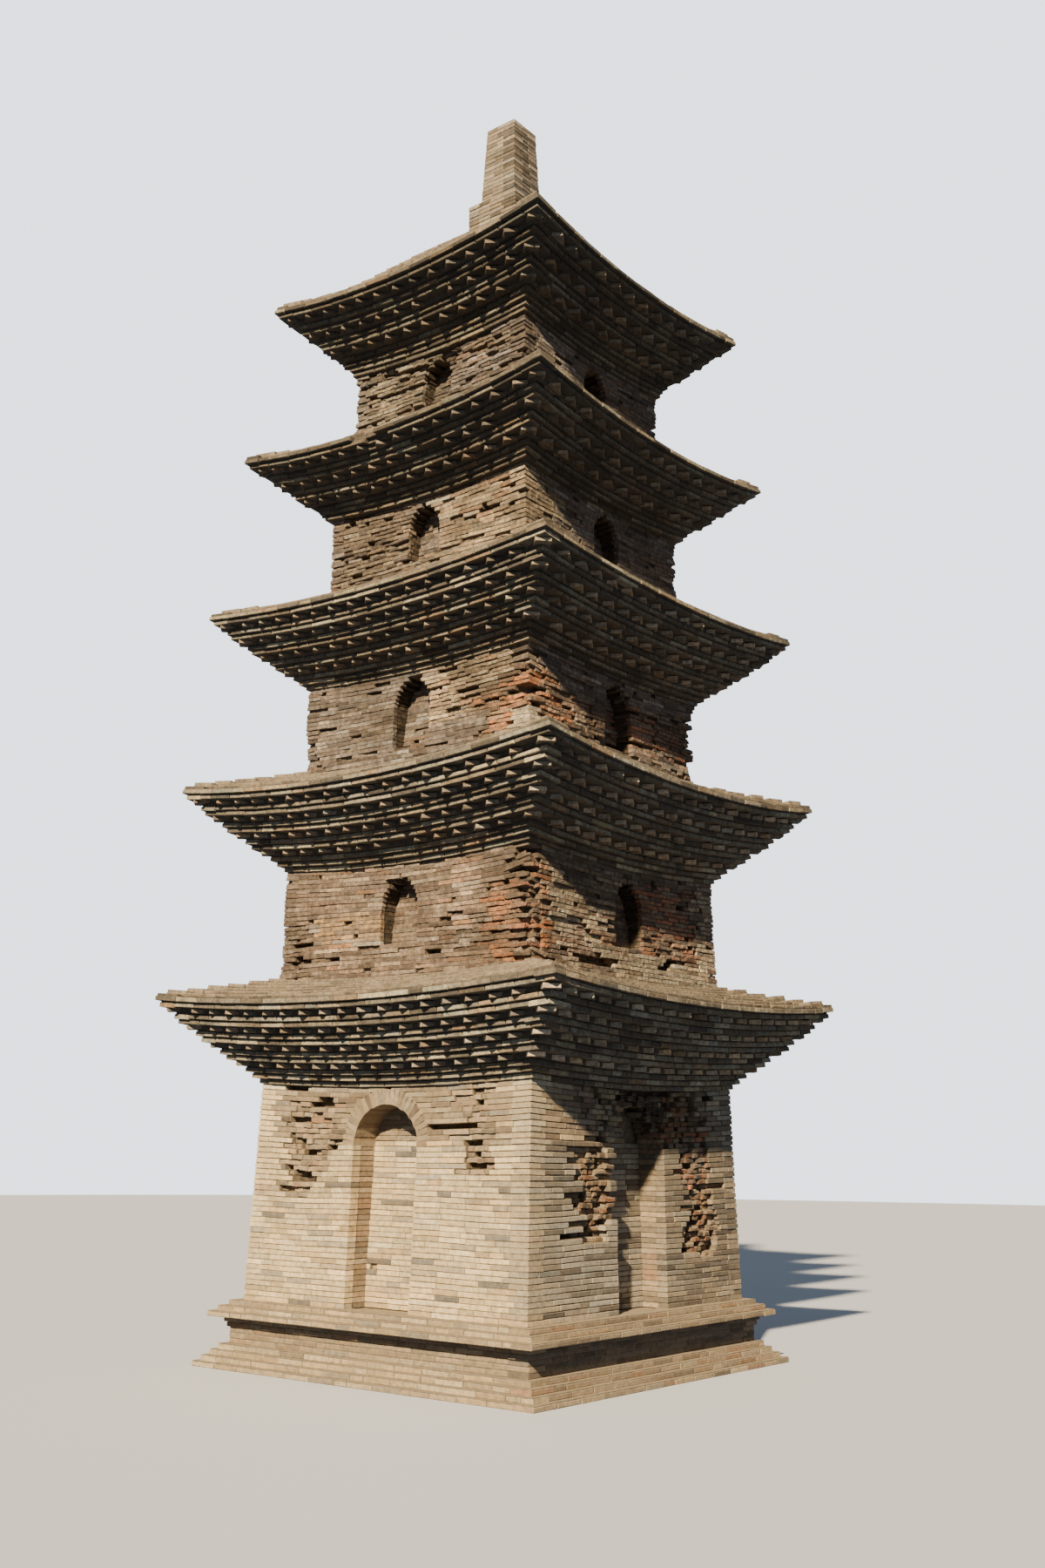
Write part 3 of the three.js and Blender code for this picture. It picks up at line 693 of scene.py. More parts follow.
walls = {
    "restored": {**usual, "stretcher": 0.298, "headers": 0.20, "spread": 0.16, "depth": 0.19, "joint": 0.0065,
                 "tilt": 0.006, "edge": 0.0018, "rake": 0.007, "clay": "restored", "tones": 0.09,
                 "unevenness": 0.007, "bite": 0.003, "patches": 0.02, "thickness": 0.001, "quoin": 0.10,
                 # The jamb's and the lost bricks' clays are darker as painted shade
                 "shadedReveal": "worn", "shadedBacking": "shadedReveal"},
    "weathered": {"stretcher": 0.285, "header": 0.14, "headers": 0.20, "spread": 0.40, "depth": 0.17,
                  "joint": 0.0050, "lost": 0.002, "sink": (0.0, 0.007), "tilt": 0.010, "edge": 0.0025,
                  "rake": 0.004, "clay": "weathered", "tones": 0.17, "unevenness": 0.018, "grainSize": 0.045,
                  "shape": "ragged", "bite": 0.04, "broken": 0.07, "patches": 0.15, "thickness": 0.0025,
                  "quoin": 0.05, "shadedReveal": "shadedReveal", "shadedBacking": "shadedReveal"},
    "courses": (0.0447, 0.0385, 0.0369, 0.0397, 0.0391),
    "shades": (1.0, 1.03, 1.06, 0.95, 0.92),
    "oldFrom": 3,  # the storey from which the clay is old
    "footBelow": 0.06,  # how far a wall starts below the top of the roof under it
    "bowFrom": 0.35,  # share of the height from which the courses bend up to the corners
    "wave": 0.007,
    # The bricks on edge round the arches of the first storey
    "ring": {"width": 0.13, "pitch": 0.047, "thick": 0.0425, "behind": 0.06, "spread": 0.006, "proud": 0.002,
             "clay": "aged", "ends": (0.002, -0.002), "joint": 0.006, "edge": 0.0018, "rake": 0.004,
             "faceOver": 0.2},  # how far over the springing the wall's face is taken for the whole ring
    "ringTrim": 0.02,  # how far the courses reach in under the ring
    "brokenRing": 1,  # the side whose arch has lost its ring
    "headBack": 0.055,  # how much deeper a niche is at its head than at its foot
    "headOver": 0.1,  # how far over the springing it is as deep as that
    "cutOver": 0.3,  # share of a course by which the cut for an arch without a ring is taken higher
    "leastCut": 0.01, "underApex": 0.01,
    "jambMore": 0.06,  # how much deeper a jamb reaches than its niche
    "backMore": 0.03,  # how far the bricks at the back of a niche reach past its edge
    "coreDepth": 0.13, "coreGap": 0.012,
    "notchMore": (0.05, 0.09),  # how much wider and deeper the core is notched than its niche
}
# Kinds of damage
missing = {"lost": 1.0}
ruined = {"lost": 0.22, "sink": (0.02, 0.085), "length": (0.04, 0.13), "tilt": 0.09, "rake": 0.03,
          "edge": 0.006, "rough": 2.2, "bite": 0.3, "broken": 0.4}
cubed = {"lost": 0.11, "sink": (0.015, 0.070), "length": (0.05, 0.12), "tilt": 0.07, "rake": 0.03,
         "edge": 0.005, "rough": 2.2, "bite": 0.0, "broken": 0.35}
hollow = {"lost": 0.40, "sink": (0.05, 0.13), "length": (0.06, 0.18), "tilt": 0.08, "rake": 0.03,
          "edge": 0.008, "rough": 2.4, "bite": 0.3, "broken": 0.4}
eaten = {"lost": 0.012, "sink": (0.0, 0.022), "length": (0.07, 0.25), "tilt": 0.022, "rake": 0.014,
         "edge": 0.004, "rough": 1.5, "bite": 0.14, "broken": 0.12}
crumbled = {"lost": 0.10, "sink": (0.004, 0.036), "length": (0.05, 0.16), "tilt": 0.05, "rake": 0.012,
            "edge": 0.004, "rough": 3.2, "bite": 0.1, "broken": 0.35, "clay": "worn"}
# Storey: corner (0 near, then anticlockwise), from, to, and how deep it is worn
wornCorners = {
    2: [(0, 3.36, 4.34, 0.085), (3, 3.28, 3.95, 0.025), (1, 3.30, 4.30, 0.015), (2, 3.3, 4.3, 0.03)],
    3: [(0, 5.50, 6.15, 0.040), (1, 5.12, 6.06, 0.105), (3, 5.30, 5.68, 0.045), (2, 5.2, 6.1, 0.03)],
    4: [(0, 7.02, 7.90, 0.012), (1, 7.00, 7.86, 0.035), (2, 7.00, 7.90, 0.04), (3, 7.00, 7.90, 0.02)],
    5: [(0, 8.62, 9.45, 0.018), (1, 8.62, 9.40, 0.030), (2, 8.62, 9.42, 0.04), (3, 8.60, 9.40, 0.03)],
}
# Storey: its areas of damage and repair. The first that holds a brick counts.
wallAreas = {
    1: [
        area(0, [(-1.14, 2.04), (-0.62, 2.09), (-0.62, 2.15), (-1.10, 2.10)], missing),
        area(0, [(-0.88, 2.19), (-0.62, 2.21), (-0.62, 2.26), (-0.88, 2.23)], missing),
        area(0, oblong(-1.22, -1.08, 2.31, 2.36), missing),
        area(0, [(-1.08, 1.78), (-0.94, 1.78), (-0.92, 1.92), (-1.06, 1.92)], crumbled, lost=0.3),
        area(0, oblong(-0.90, -0.76, 1.66, 1.71), missing),
        area(0, oblong(-1.08, -0.84, 1.58, 1.62), missing),
        area(0, [(-1.30, 1.44), (-1.06, 1.44), (-1.04, 1.55), (-1.26, 1.52)], crumbled, lost=0.22),
        area(0, [(-1.27, 1.43), (-0.80, 1.45), (-0.66, 1.72), (-0.54, 1.92), (-0.52, 2.26), (-1.14, 2.22),
              (-1.24, 2.02), (-1.16, 1.72)], crumbled, lost=0.015, sink=(0.0, 0.026), broken=0.15),
        area(0, oblong(0.55, 0.94, 2.02, 2.055), missing),
        area(0, [(0.84, 2.17), (1.10, 2.19), (1.12, 2.33), (0.84, 2.31)], crumbled, lost=0.16),
        area(0, [(0.86, 1.84), (1.14, 1.86), (1.10, 1.98), (0.86, 1.98)], crumbled, lost=0.2),
        area(0, [(0.90, 1.66), (1.16, 1.72), (1.02, 1.83), (0.86, 1.80)], crumbled, lost=0.2),
        area(0, [(0.80, 1.64), (1.20, 1.64), (1.18, 2.36), (0.80, 2.36)], crumbled, lost=0.02,
             sink=(0.0, 0.022), broken=0.15),
        area(1, [(-1.08, 1.14), (-0.54, 1.12), (-0.54, 1.19), (-1.08, 1.19)], missing),
        area(1, [(-0.96, 1.12), (-0.50, 1.10), (-0.44, 1.36), (-0.94, 1.40)], ruined, clay="rubble",
             rough=4.0),
        area(1, [(-0.98, 1.38), (-0.42, 1.34), (-0.40, 1.70), (-0.56, 1.88), (-0.92, 1.84)], cubed,
             clay="rubble", rough=4.0),
        area(1, [(0.54, 1.00), (1.16, 0.93), (1.28, 1.09), (1.26, 1.24), (1.06, 1.39), (0.88, 1.40),
              (0.58, 1.15)], ruined, clay="rubble", rough=4.0),
        area(1, [(0.70, 1.38), (1.20, 1.20), (1.22, 1.52), (0.86, 1.56)], cubed, clay="rubble", rough=4.0),
        area(1, [(0.62, 1.50), (1.16, 1.50), (1.14, 1.84), (1.02, 2.00), (0.66, 1.96)], cubed, clay="red",
             lost=0.03, sink=(0.0, 0.035)),
        # The broken head of the right side's arch, in the near-black clay as painted shade in its hollow
        area(1, [(-0.30, 2.06), (-0.34, 2.39), (0.40, 2.39), (0.46, 2.04), (0.30, 1.90), (0.20, 2.10)],
             hollow, clay="shadedReveal"),
        area(1, [(-0.70, 1.84), (-0.28, 1.80), (-0.28, 2.39), (-0.70, 2.39)], cubed, clay="aged", lost=0.04,
             sink=(0.0, 0.04)),
        area(1, [(0.36, 1.90), (0.95, 1.84), (0.95, 2.39), (0.36, 2.39)], cubed, clay="rubble", rough=4.0),
        area(1, oblong(-1.00, 1.20, 1.95, 2.39), eaten, clay="weathered"),
        # The near corner takes a clay between the front's and the right side's darker clay with its painted
        # shade
        area(0, oblong(1.36, 2, 0, 2.50), clay="corner"),
        area(1, oblong(-2, -1.33, 0, 2.50), clay="corner", rake=0.012, edge=0.003),
        # The right side's upper far part is greyer, and darker as painted shade
        area(1, oblong(1.20, 2, 1.92, 2.50), clay="greyedAndShaded", rake=0.012),
        # The back's end at the far corner carries on the right side's darker clays: painted shade
        area(2, oblong(-2, -1.33, 0, 1.92), clay="dusky"),
        area(2, oblong(-2, -1.33, 1.92, 2.50), clay="greyedAndShaded"),
        # The far part of the right side's lower wall is darker: painted shade
        area(1, oblong(0.36, 2, 0, 1.92), clay="dusky", rake=0.013, edge=0.003, sink=(0.0, 0.008)),
        # The right side's lower wall is greyer, and darker as painted shade
        area(1, oblong(-2, 2, 0, 1.92), clay="greyedAndShaded", rake=0.012, edge=0.003),
        area(None, [(-1.36, 1.93), (1.30, 1.90), (1.30, 2.45), (-1.36, 2.45)], clay="aged",
             sink=(0.0, 0.008), tilt=0.01, length=(0.16, 0.31)),
    ],
    2: [
        area(0, [(-0.96, 3.48), (-0.58, 3.47), (-0.58, 3.54), (-0.96, 3.54)], missing),
        area(0, oblong(0.34, 0.62, 3.46, 3.52), missing),
        area(0, [(-1.34, 3.50), (-1.14, 3.48), (-1.14, 3.56), (-1.34, 3.57)], missing),
        area(0, [(1.22, 4.12), (1.50, 4.02), (1.50, 4.12), (1.24, 4.19)], missing),
        area(0, [(1.34, 4.20), (1.50, 4.18), (1.50, 4.30), (1.34, 4.26)], missing),
        area(0, [(1.26, 3.40), (1.50, 3.40), (1.50, 4.20), (1.30, 4.16)], cubed, clay="red", lost=0.03,
             sink=(0.0, 0.03)),
        area(0, [(0.95, 3.36), (1.40, 3.36), (1.40, 4.10), (1.02, 4.04)], eaten, clay="orange"),
        area(0, [(0.30, 3.55), (1.00, 3.50), (1.00, 3.80), (0.55, 3.84)], eaten, clay="weathered"),
        area(0, oblong(-1.00, -0.20, 3.66, 3.90), clay="ochre"),
        area(0, [(-1.50, 3.30), (-1.10, 3.30), (-1.16, 3.85), (-1.50, 3.85)], eaten, lost=0.07,
             clay="weathered"),
        area(1, [(-0.80, 3.42), (-0.30, 3.38), (-0.30, 3.46), (-0.80, 3.52)], missing),
        area(1, oblong(0.48, 0.68, 3.44, 3.54), missing),
        area(1, [(-1.50, 3.40), (-1.28, 3.40), (-1.26, 4.20), (-1.50, 4.22)], cubed, clay="red", lost=0.03,
             sink=(0.0, 0.03)),
        area(1, [(-1.40, 3.34), (-1.14, 3.34), (-1.14, 4.16), (-1.40, 4.20)], eaten, clay="orange"),
        area(1, [(-1.16, 3.68), (-0.84, 3.66), (-0.78, 3.98), (-1.06, 4.12), (-1.16, 4.12)], clay="pale",
             sink=(0.0, 0.004), tilt=0.006),
        area(1, [(-0.62, 3.56), (-0.30, 3.42), (-0.46, 3.82), (-0.62, 3.82)], clay="pale", sink=(0.0, 0.004),
             tilt=0.006),
        area(1, [(-0.20, 3.26), (1.02, 3.26), (1.02, 3.52), (0.20, 3.56), (-0.20, 3.52)], clay="pale",
             sink=(0.0, 0.006), tilt=0.008),
        area(1, [(1.04, 3.26), (1.50, 3.26), (1.50, 4.45), (1.10, 4.45), (1.18, 3.90)], clay="pale",
             sink=(0.0, 0.004), tilt=0.006, rake=0.01),
        area(1, [(0.22, 3.54), (1.04, 3.52), (1.06, 4.20), (0.26, 4.22)], eaten, clay="red"),
        area(1, [(-1.14, 3.40), (-0.22, 3.40), (-0.22, 3.90), (-1.14, 3.70)], eaten, lost=0.08,
             clay="weathered"),
        # The rest of the right side is laid in the darker brown clay as painted shade
        area(1, oblong(-1.50, 1.50, 3.30, 4.50), clay="brown", length=(0.1, 0.28)),
    ],
    3: [
        area(0, [(1.16, 5.72), (1.42, 5.68), (1.42, 5.79), (1.16, 5.78)], missing),
        area(0, [(1.22, 5.98), (1.42, 5.94), (1.42, 6.06), (1.22, 6.04)], missing),
        area(0, oblong(0.60, 0.78, 5.79, 5.83), missing),
        area(0, [(-1.42, 5.42), (-1.32, 5.42), (-1.30, 5.62), (-1.42, 5.62)], ruined),
        area(0, [(0.72, 5.64), (1.42, 5.60), (1.42, 5.90), (0.80, 5.80)], eaten, clay="orange"),
        area(0, oblong(0.90, 1.20, 5.38, 5.64), eaten, lost=0.04, clay="orange"),
        area(0, oblong(1.18, 1.42, 5.30, 5.64), clay="pale", sink=(0.0, 0.006), tilt=0.008),
        area(0, oblong(0.20, 1.42, 5.60, 6.20), eaten, lost=0.02, clay="worn"),
        area(1, [(1.04, 5.18), (1.42, 5.18), (1.42, 6.02), (1.12, 5.96)], cubed, clay="weathered", lost=0.03,
             sink=(0.0, 0.035)),
        area(1, [(-1.42, 5.56), (-0.86, 5.46), (-0.62, 5.52), (-0.80, 5.74), (-1.05, 5.94), (-1.42, 5.96)],
             eaten, lost=0.05, clay="orange"),
        area(1, oblong(-1.42, -1.10, 5.30, 5.56), clay="pale"),
        area(1, [(-0.80, 5.40), (-0.20, 5.35), (-0.20, 5.70), (-0.80, 5.80)], eaten, lost=0.06,
             clay="weathered"),
        area(1, oblong(0.10, 1.10, 5.50, 5.90), eaten, lost=0.06, clay="red"),
    ],
    4: [
        area(0, [(0.62, 7.52), (0.86, 7.50), (0.84, 7.60), (0.62, 7.60)], ruined),
        area(0, [(-1.30, 7.50), (-0.66, 7.48), (-0.60, 7.70), (-1.30, 7.70)], clay="brown",
             length=(0.1, 0.28)),
        area(0, [(-0.70, 7.12), (0.14, 7.12), (0.14, 7.36), (-0.70, 7.42)], eaten, clay="brown"),
        area(0, oblong(-1.30, -0.16, 7.05, 7.90), eaten, clay="brown"),
        area(0, oblong(0.16, 1.30, 7.05, 7.90), clay="worn", length=(0.12, 0.29), sink=(0.0, 0.012),
             broken=0.12, bite=0.12, lost=0.01),
        area(1, oblong(1.18, 1.30, 7.64, 7.71), missing),
        area(1, [(-1.30, 7.05), (-0.60, 7.05), (-0.75, 7.75), (-1.30, 7.85)], clay="aged",
             length=(0.12, 0.29)),
    ],
    5: [
        area(0, [(0.00, 9.22), (0.30, 9.22), (0.28, 9.38), (0.00, 9.36)], ruined),
        area(0, [(-0.62, 9.28), (-0.10, 9.22), (-0.06, 9.30), (-0.62, 9.34)], ruined),
        area(0, [(0.40, 9.20), (0.90, 9.20), (0.88, 9.34), (0.42, 9.36)], eaten, lost=0.1, clay="brown"),
        area(0, [(-1.16, 8.60), (0.20, 8.60), (0.10, 9.45), (-1.16, 9.45)], eaten, clay="dusky"),
        area(0, oblong(0.10, 1.16, 8.60, 9.45), eaten, lost=0.03, clay="old", sink=(0.0, 0.02), broken=0.22),
    ],
}


def archCurve(niche):
    # The height of a pointed arch over its springing, and the radius of its two arcs
    half, foot, springing, apex, depth = niche
    rise = apex - springing
    return rise, (half * half + rise * rise) / (2 * half)


def archHalf(niche, z, extra=0.0):
    # Half the width of a pointed arch at a height, or of the ring of bricks round it
    half, foot, springing, apex, depth = niche
    rise, radius = archCurve(niche)
    if z < springing:
        return half
    inside = (radius + extra) ** 2 - (z - springing) ** 2
    return max(0.0, half - radius + math.sqrt(inside)) if inside > 0 else 0.0


def layArchRing(work, side, out, niche):
    # Bricks on edge that follow the arch, with their joints pointing at its centres
    half, foot, springing, apex, depth = niche
    rise, radius = archCurve(niche)
    sweep = math.atan2(rise, radius - half)
    look = walls["ring"]
    width, spread, rng = look["width"], look["spread"], work.rng
    size = (width, depth + look["behind"], look["thick"])
    count = round(sweep * (radius + width / 2) / look["pitch"])
    for i in range(count):
        angle = sweep * (i + 0.5) / count
        for hand in (1, -1):
            middle = radius + width / 2 + rng.uniform(-spread, spread)
            along = hand * (half - radius + middle * math.cos(angle))
            z = springing + middle * math.sin(angle)
            turn = (rng.gauss(0, spread), -angle if hand > 0 else angle - math.pi, rng.gauss(0, spread))
            work.put(side, along, -out - look["proud"], z, turn, size, look["clay"], look["ends"],
                     look["joint"], look["edge"], look["rake"])


def buildWall(number):
    s = tower["storeys"][number - 1]
    look = {**walls["restored" if number == 1 else "weathered"], "shade": walls["shades"][number - 1]}
    if number >= walls["oldFrom"]:
        look["clay"] = "old"
    work = Brickwork(20 + number, look, wallAreas[number], wornCorners.get(number, ()))
    niche = s["niche"]
    half, nicheFoot, springing, apex, depth = niche
    ring = walls["ring"]["width"] if number == 1 else 0.0
    foot = tower["plinthTop"] if number == 1 else tower["storeys"][number - 2]["roofTop"] - walls["footBelow"]
    top = s["wallTop"]
    count = round((top - foot) / walls["courses"][number - 1])
    height = (top - foot) / count
    lower, upper = s["wall"]

    def halfAt(z):
        return lower + (upper - lower) * (z - foot) / (top - foot)

    for row in range(count):
        z = foot + row * height
        middle = z + height / 2
        share = smoothStep(walls["bowFrom"], 1.0, (middle - foot) / (top - foot))
        wave = walls["wave"] * math.sin(math.pi * (middle - foot) / (top - foot))
        for side in range(4):

            def bow(along):
                ripple = math.sin(along * 2.3 + side * 2 + z) + 0.6 * math.sin(along * 5.1 + side - z * 1.7)
                fade = math.cos(math.pi / 2 * min(1, abs(along) / lower))
                return share * s["rise"] * (along / s["eave"]) ** 2 + wave * fade * ripple

            gaps = []
            band = 0.0 if side == walls["brokenRing"] else ring
            clear = archHalf(niche, middle + (0 if ring else walls["cutOver"] * height), band)
            if nicheFoot < middle < apex + band and clear > walls["leastCut"]:
                trim = walls["ringTrim"] if band and middle > springing else 0.0
                gaps.append((trim - clear, clear - trim, depth + walls["jambMore"]))
            work.course(side, z, height, halfAt(middle), bow, gaps, parity=row % 2)
            if nicheFoot < middle < apex + walls["backMore"]:
                # The back of the niche, which no worn corner reaches
                inner = archHalf(niche, min(middle, apex - walls["underApex"])) + walls["backMore"]
                out = sideSize(side, halfAt(springing), middle)[0]
                deeper = walls["headBack"] * smoothStep(nicheFoot, springing + walls["headOver"], middle)
                work.ends = (0.0, 0.0, 0.0)
                work.span((side, z, height, out - depth - deeper, flat), -inner, inner)
    if ring:
        for side in range(4):
            if side != walls["brokenRing"]:
                out = sideSize(side, halfAt(springing + walls["ring"]["faceOver"]), springing)[0]
                layArchRing(work, side, out, niche)
    inner = walls["coreDepth"]
    wider, deeper = walls["notchMore"]
    work.stack([(lower - inner, foot, False), (upper - inner, top - walls["coreGap"], True)], bowOf(s),
               notch=(half + wider, depth + deeper - inner))
    finishName = "restored_brick" if number == 1 else "weathered_brick"
    keep(work.finish(f"storey_{number}_bricks", finishName), f"storey_{number}_wall")


def bowOf(storey):
    # How an eave's courses rise towards its corners
    return lambda along: storey["rise"] * (along / storey["eave"]) ** 2


eaves = {
    "look": {**usual, "stretcher": 0.290, "headers": 0.15, "spread": 0.10, "depth": 0.20, "joint": 0.008,
             "sink": (0.0, 0.006), "tilt": 0.007, "rake": 0.012, "clay": "sooty", "tones": 0.17,
             "unevenness": 0.008, "grainSize": 0.07,
             # The right side's teeth take a paler clay: painted light in its shade
             "toothClay": ("tooth", "paintedLightTooth", "tooth", "tooth"),
             "toothTurn": (0.785, 0.585, 0.785, 0.785),  # how far each side's teeth are turned
             "tooth": 0.140, "hipTooth": 0.24, "pitch": 0.232, "cornerClear": 0.34, "lostTeeth": 0.01,
             "toothSpread": (0.93, 1.03), "toothDrift": 0.009, "toothSink": (-0.004, 0.014),
             "toothTilt": (0.012, 0.01, 0.04), "toothEnds": (0.02, -0.02), "toothRake": 0.02},
    # Share of the overhang that each course reaches, from the wall up, by the number of tooth rows.
    # A row has its corner teeth first, and then the two flat courses over it.
    4: {"corbels": [0.03, 0.10, 0.16],
        "rows": [(0.24, (0.34, 0.395)), (0.475, (0.57, 0.62)), (0.695, (0.78, 0.82)), (0.88, (0.955, 1.0))]},
    3: {"corbels": [0.04, 0.08, 0.135, 0.19],
        "rows": [(0.31, (0.42, 0.47)), (0.57, (0.66, 0.73)), (0.83, (0.94, 1.0))]},
    "shades": (1.32, 1.30, 1.13, 0.88, 0.74),
    # By storey, how far the tips of the other teeth stay behind the flat course on them
    "toothSet": (0.024, 0.024, 0.021, 0.016, 0.012),
    "flatBack": 0.06, "toothBack": 0.085, "coreGap": 0.004,
    # Storey: the stretch where its edge course is broken off
    "broken": {4: [area(0, oblong(-0.35, 0.04, 8.2, 8.6), missing)]},
}
roofs = {
    "look": {**usual, "stretcher": 0.290, "headers": 0.25, "spread": 0.12, "depth": 0.24, "joint": 0.007,
             "sink": (0.0, 0.010), "tilt": 0.010, "edge": 0.006, "rake": 0.008, "clay": "roof", "tones": 0.15,
             "shade": 0.88, "unevenness": 0.012},
    "courses": 6, "topCourses": 26, "topHollow": 0.75, "finialHalf": 0.313,
    "coreBack": 0.05, "coreGap": 0.006,
}


def buildEave(number):
    s = tower["storeys"][number - 1]
    reach = eaves[s["toothRows"]]
    overhang = s["eave"] - s["wall"][1]
    height = (s["lip"] - s["wallTop"]) / (s["corbels"] + 3 * s["toothRows"] - 1)
    look = {**eaves["look"], "shade": eaves["shades"][number - 1]}
    bow = bowOf(s)

    def halfOf(share):
        return s["wall"][1] + share * overhang

    tiers = [("corbel", [("flat", halfOf(share)) for share in reach["corbels"][-s["corbels"]:]])]
    for i, (cornerTip, flats) in enumerate(reach["rows"]):
        tips = halfOf(flats[0]) - eaves["toothSet"][number - 1]
        courses = [(halfOf(cornerTip), tips)] + [("flat", halfOf(share)) for share in flats]
        tiers.append((f"tier_{i + 1}", courses))
    z = s["wallTop"]
    row = 0
    for i, (name, courses) in enumerate(tiers):
        isEdge = i == len(tiers) - 1
        work = Brickwork(100 * number + i, look, eaves["broken"].get(number, ()) if isEdge else ())
        rings = []
        for kind, half in courses:
            back = half - (eaves["flatBack"] if kind == "flat" else eaves["toothBack"])
            rings += [(back, z, True), (back, z + height - eaves["coreGap"], True)]
            for side in range(4):
                if kind == "flat":
                    work.course(side, z, height, half, bow, parity=row % 2)
                else:
                    work.teeth(side, z, height, half, kind, bow)
            z += height
            row += 1
        work.stack(rings, bow)
        keep(work.finish(f"eave_{number}_{name}_bricks", "eave_brick"), f"eave_{number}_{name}")
    return z


def buildRoof(number, bottom):
    s = tower["storeys"][number - 1]
    isTop = number == len(tower["storeys"])
    count = roofs["topCourses"] if isTop else roofs["courses"]
    hollow = roofs["topHollow"] if isTop else 0.0
    rim = (roofs["finialHalf"] if isTop else tower["storeys"][number]["wall"][0]) + 0.001
    height = (s["roofTop"] - bottom) / count
    work = Brickwork(60 + number, roofs["look"])
    bow = bowOf(s)
    rings = []
    for row in range(count):
        share = (row + 0.5) / count
        setBack = share + hollow * share * (1 - share) ** 3
        half = s["eave"] - (s["eave"] - rim) * setBack
        z = bottom + row * height
        back = half - roofs["coreBack"]
        rings += [(back, z, True), (back, z + height - roofs["coreGap"], True)]
        for side in range(4):
            work.course(side, z, height, half, bow, parity=row % 2)
    work.stack(rings, bow)
    keep(work.finish(f"eave_{number}_roof_bricks", "roof_brick"), f"eave_{number}_roof")


finial = {
    "look": {**usual, "stretcher": 0.290, "headers": 0.35, "spread": 0.06, "depth": 0.145, "joint": 0.006,
             "tilt": 0.008, "rake": 0.006, "clay": "finial", "tones": 0.15, "unevenness": 0.010},
    # The finial's right side is laid in the dark clay as painted shade
    "shadedSide": area(1, oblong(-1, 1, 11, 13), clay="paintedShadeDark"),
    # Half width at the foot and at the top, height of both, number of courses
    "base": (0.313, 0.313, 11.120, 11.485, 8),
    "shaft": (0.225, 0.184, 11.485, 12.405, 20),
    "coreBack": 0.02, "coreGap": 0.006,
}


def buildFinial():
    for i, name in enumerate(("base", "shaft")):
        lower, upper, bottom, top, count = finial[name]
        work = Brickwork(80 + i, finial["look"], [finial["shadedSide"]])
        height = (top - bottom) / count
        for row in range(count):
            half = lower + (upper - lower) * (row + 0.5) / count
            for side in range(4):
                work.course(side, bottom + row * height, height, half, flat, parity=row % 2)
        back = finial["coreBack"]
        work.stack([(lower - back, bottom, False), (upper - back, top - finial["coreGap"], False)], flat)
        keep(work.finish(f"finial_{name}_bricks", "restored_brick"), f"finial_{name}")


buildPlinth()
print("plinth built")
for number in range(1, 6):
    buildWall(number)
    roofBottom = buildEave(number)
    buildRoof(number, roofBottom)
    print(f"storey {number} built")
buildFinial()
print("finial built")
for shape in brickShapes.values():
    bpy.data.objects.remove(shape)

studio = {"floor": (0.53, 0.56, 0.64), "sky": (0.74, 0.87, 1.0), "skyStrength": 0.26,
          "sun": 12.0, "sunColour": (1.0, 0.81, 0.52), "sunSize": 1.6, "towardSun": (0.75, -1.71, 1.25),
          "backdrop": (2.2, 2.35, 2.6), "backdropDrop": 0.5, "radius": 45.0, "segments": 64, "rings": 8}
view = {"place": (9.497, -11.701, 1.938), "yaw": 38.366, "pitch": 12.631, "roll": 0.561, "lens": 36.68}


def plainMaterial(name, colour, glow=0.0):
    material = bpy.data.materials.new(name)
    material.use_nodes = True
    shader = material.node_tree.nodes["Principled BSDF"]
    shader.inputs["Roughness"].default_value = 0.95
    shader.inputs["Base Color"].default_value = (*(colour if not glow else (0, 0, 0)), 1.0)
    shader.inputs["Emission Color"].default_value = (*colour, 1.0)
    shader.inputs["Emission Strength"].default_value = glow
    return material


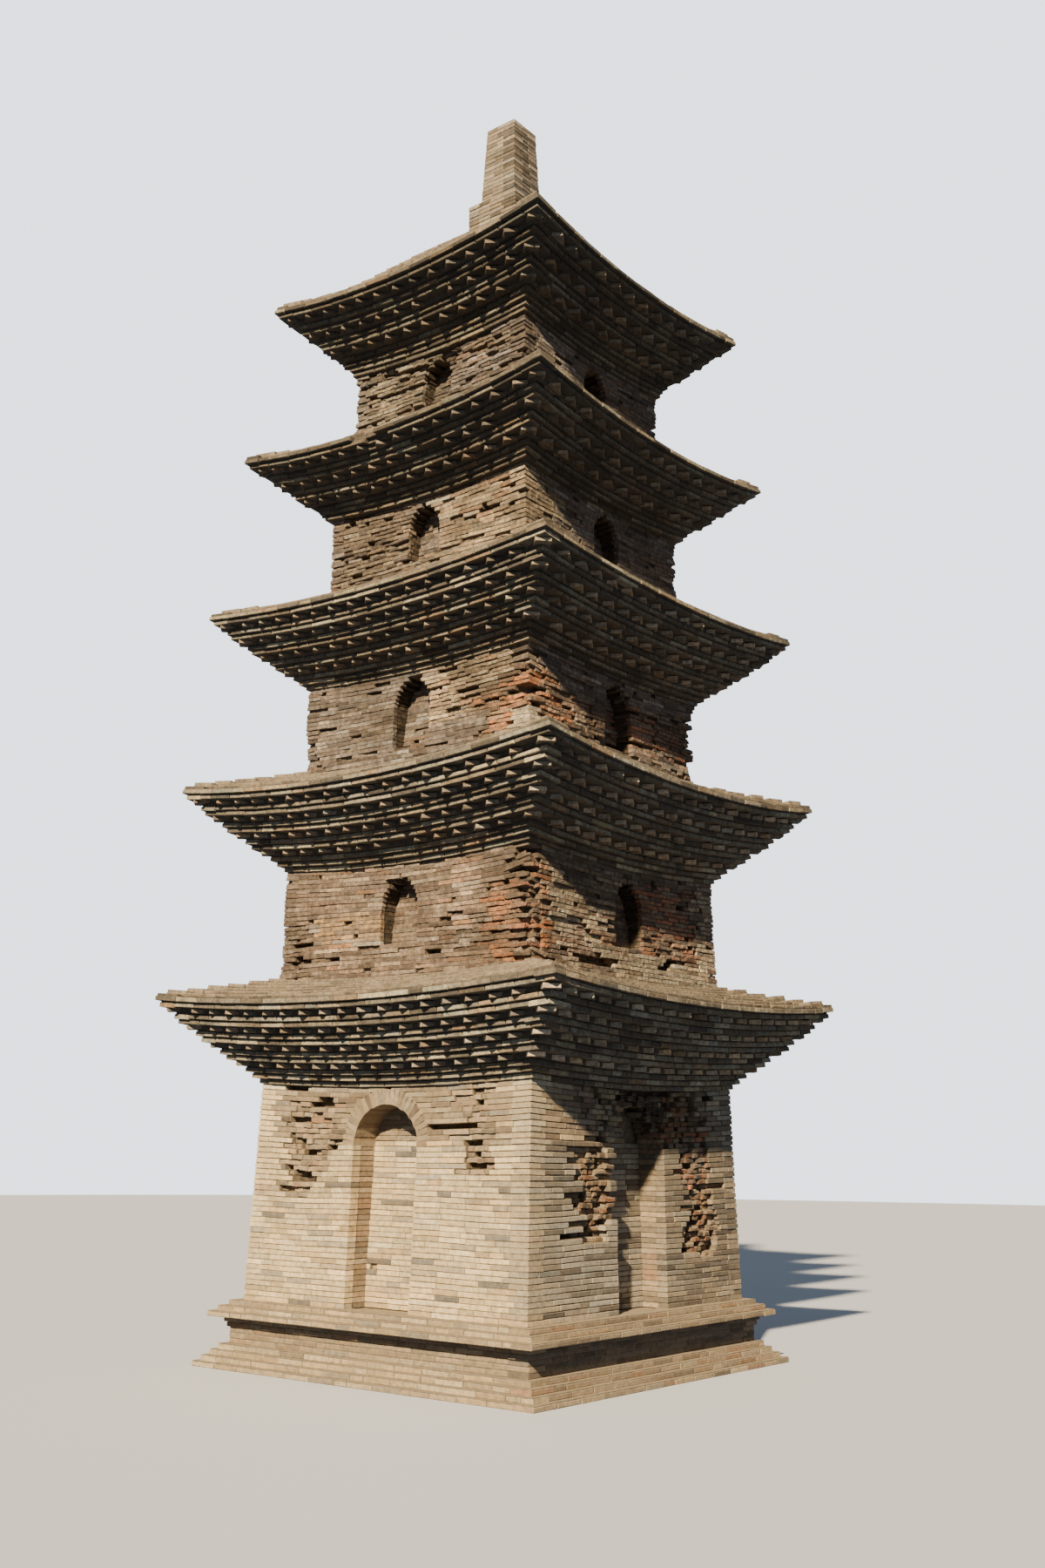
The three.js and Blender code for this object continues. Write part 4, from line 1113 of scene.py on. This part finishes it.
def addStage(name, points, faces, material):
    mesh = bpy.data.meshes.new(name)
    mesh.from_pydata(points, [], faces)
    mesh.materials.append(material)
    made = addObject(name, mesh)
    return made


def buildStudio():
    size, count, rings = studio["radius"], studio["segments"], studio["rings"]
    angles = [i * math.tau / count for i in range(count)]
    circle = [(size * math.cos(angle), size * math.sin(angle)) for angle in angles]
    floor = addStage("floor", [(x, y, 0.0) for x, y in circle], [tuple(range(count))],
                     plainMaterial("floor", studio["floor"]))
    floor.visible_diffuse = False
    # The pale backdrop is for the camera alone. The light comes from the sun and the sky.
    points, faces = [], []
    for level in range(rings + 1):
        a = level * math.pi / 2 / rings
        rise = size * math.sin(a) - studio["backdropDrop"]
        points += [(x * math.cos(a), y * math.cos(a), rise) for x, y in circle]
    for level in range(rings):
        for i in range(count):
            j = (i + 1) % count
            low, high = level * count, (level + 1) * count
            faces.append((low + i, high + i, high + j, low + j))
    backdrop = addStage("backdrop", points, faces, plainMaterial("backdrop", studio["backdrop"], 1.0))
    backdrop.visible_diffuse = backdrop.visible_glossy = backdrop.visible_shadow = False
    sun = addObject("sun", bpy.data.lights.new("sun", "SUN"))
    sun.data.energy = studio["sun"]
    sun.data.angle = math.radians(studio["sunSize"])
    sun.data.color = studio["sunColour"]
    sun.rotation_euler = Vector(studio["towardSun"]).to_track_quat("Z", "Y").to_euler()
    world = bpy.data.worlds.new("studio")
    world.use_nodes = True
    background = world.node_tree.nodes["Background"]
    background.inputs["Color"].default_value = (*studio["sky"], 1.0)
    background.inputs["Strength"].default_value = studio["skyStrength"]
    bpy.context.scene.world = world


def buildCamera():
    camera = addObject("camera", bpy.data.cameras.new("camera"))
    camera.data.lens = view["lens"]
    camera.data.sensor_width = 36.0
    yaw, pitch, roll = (math.radians(view[key]) for key in ("yaw", "pitch", "roll"))
    upright = Matrix.Rotation(math.pi / 2 + pitch, 4, "X")
    turned = Matrix.Rotation(yaw, 4, "Z") @ upright @ Matrix.Rotation(roll, 4, "Z")
    camera.matrix_world = Matrix.Translation(view["place"]) @ turned
    bpy.context.scene.camera = camera


buildStudio()
buildCamera()
print("studio set")
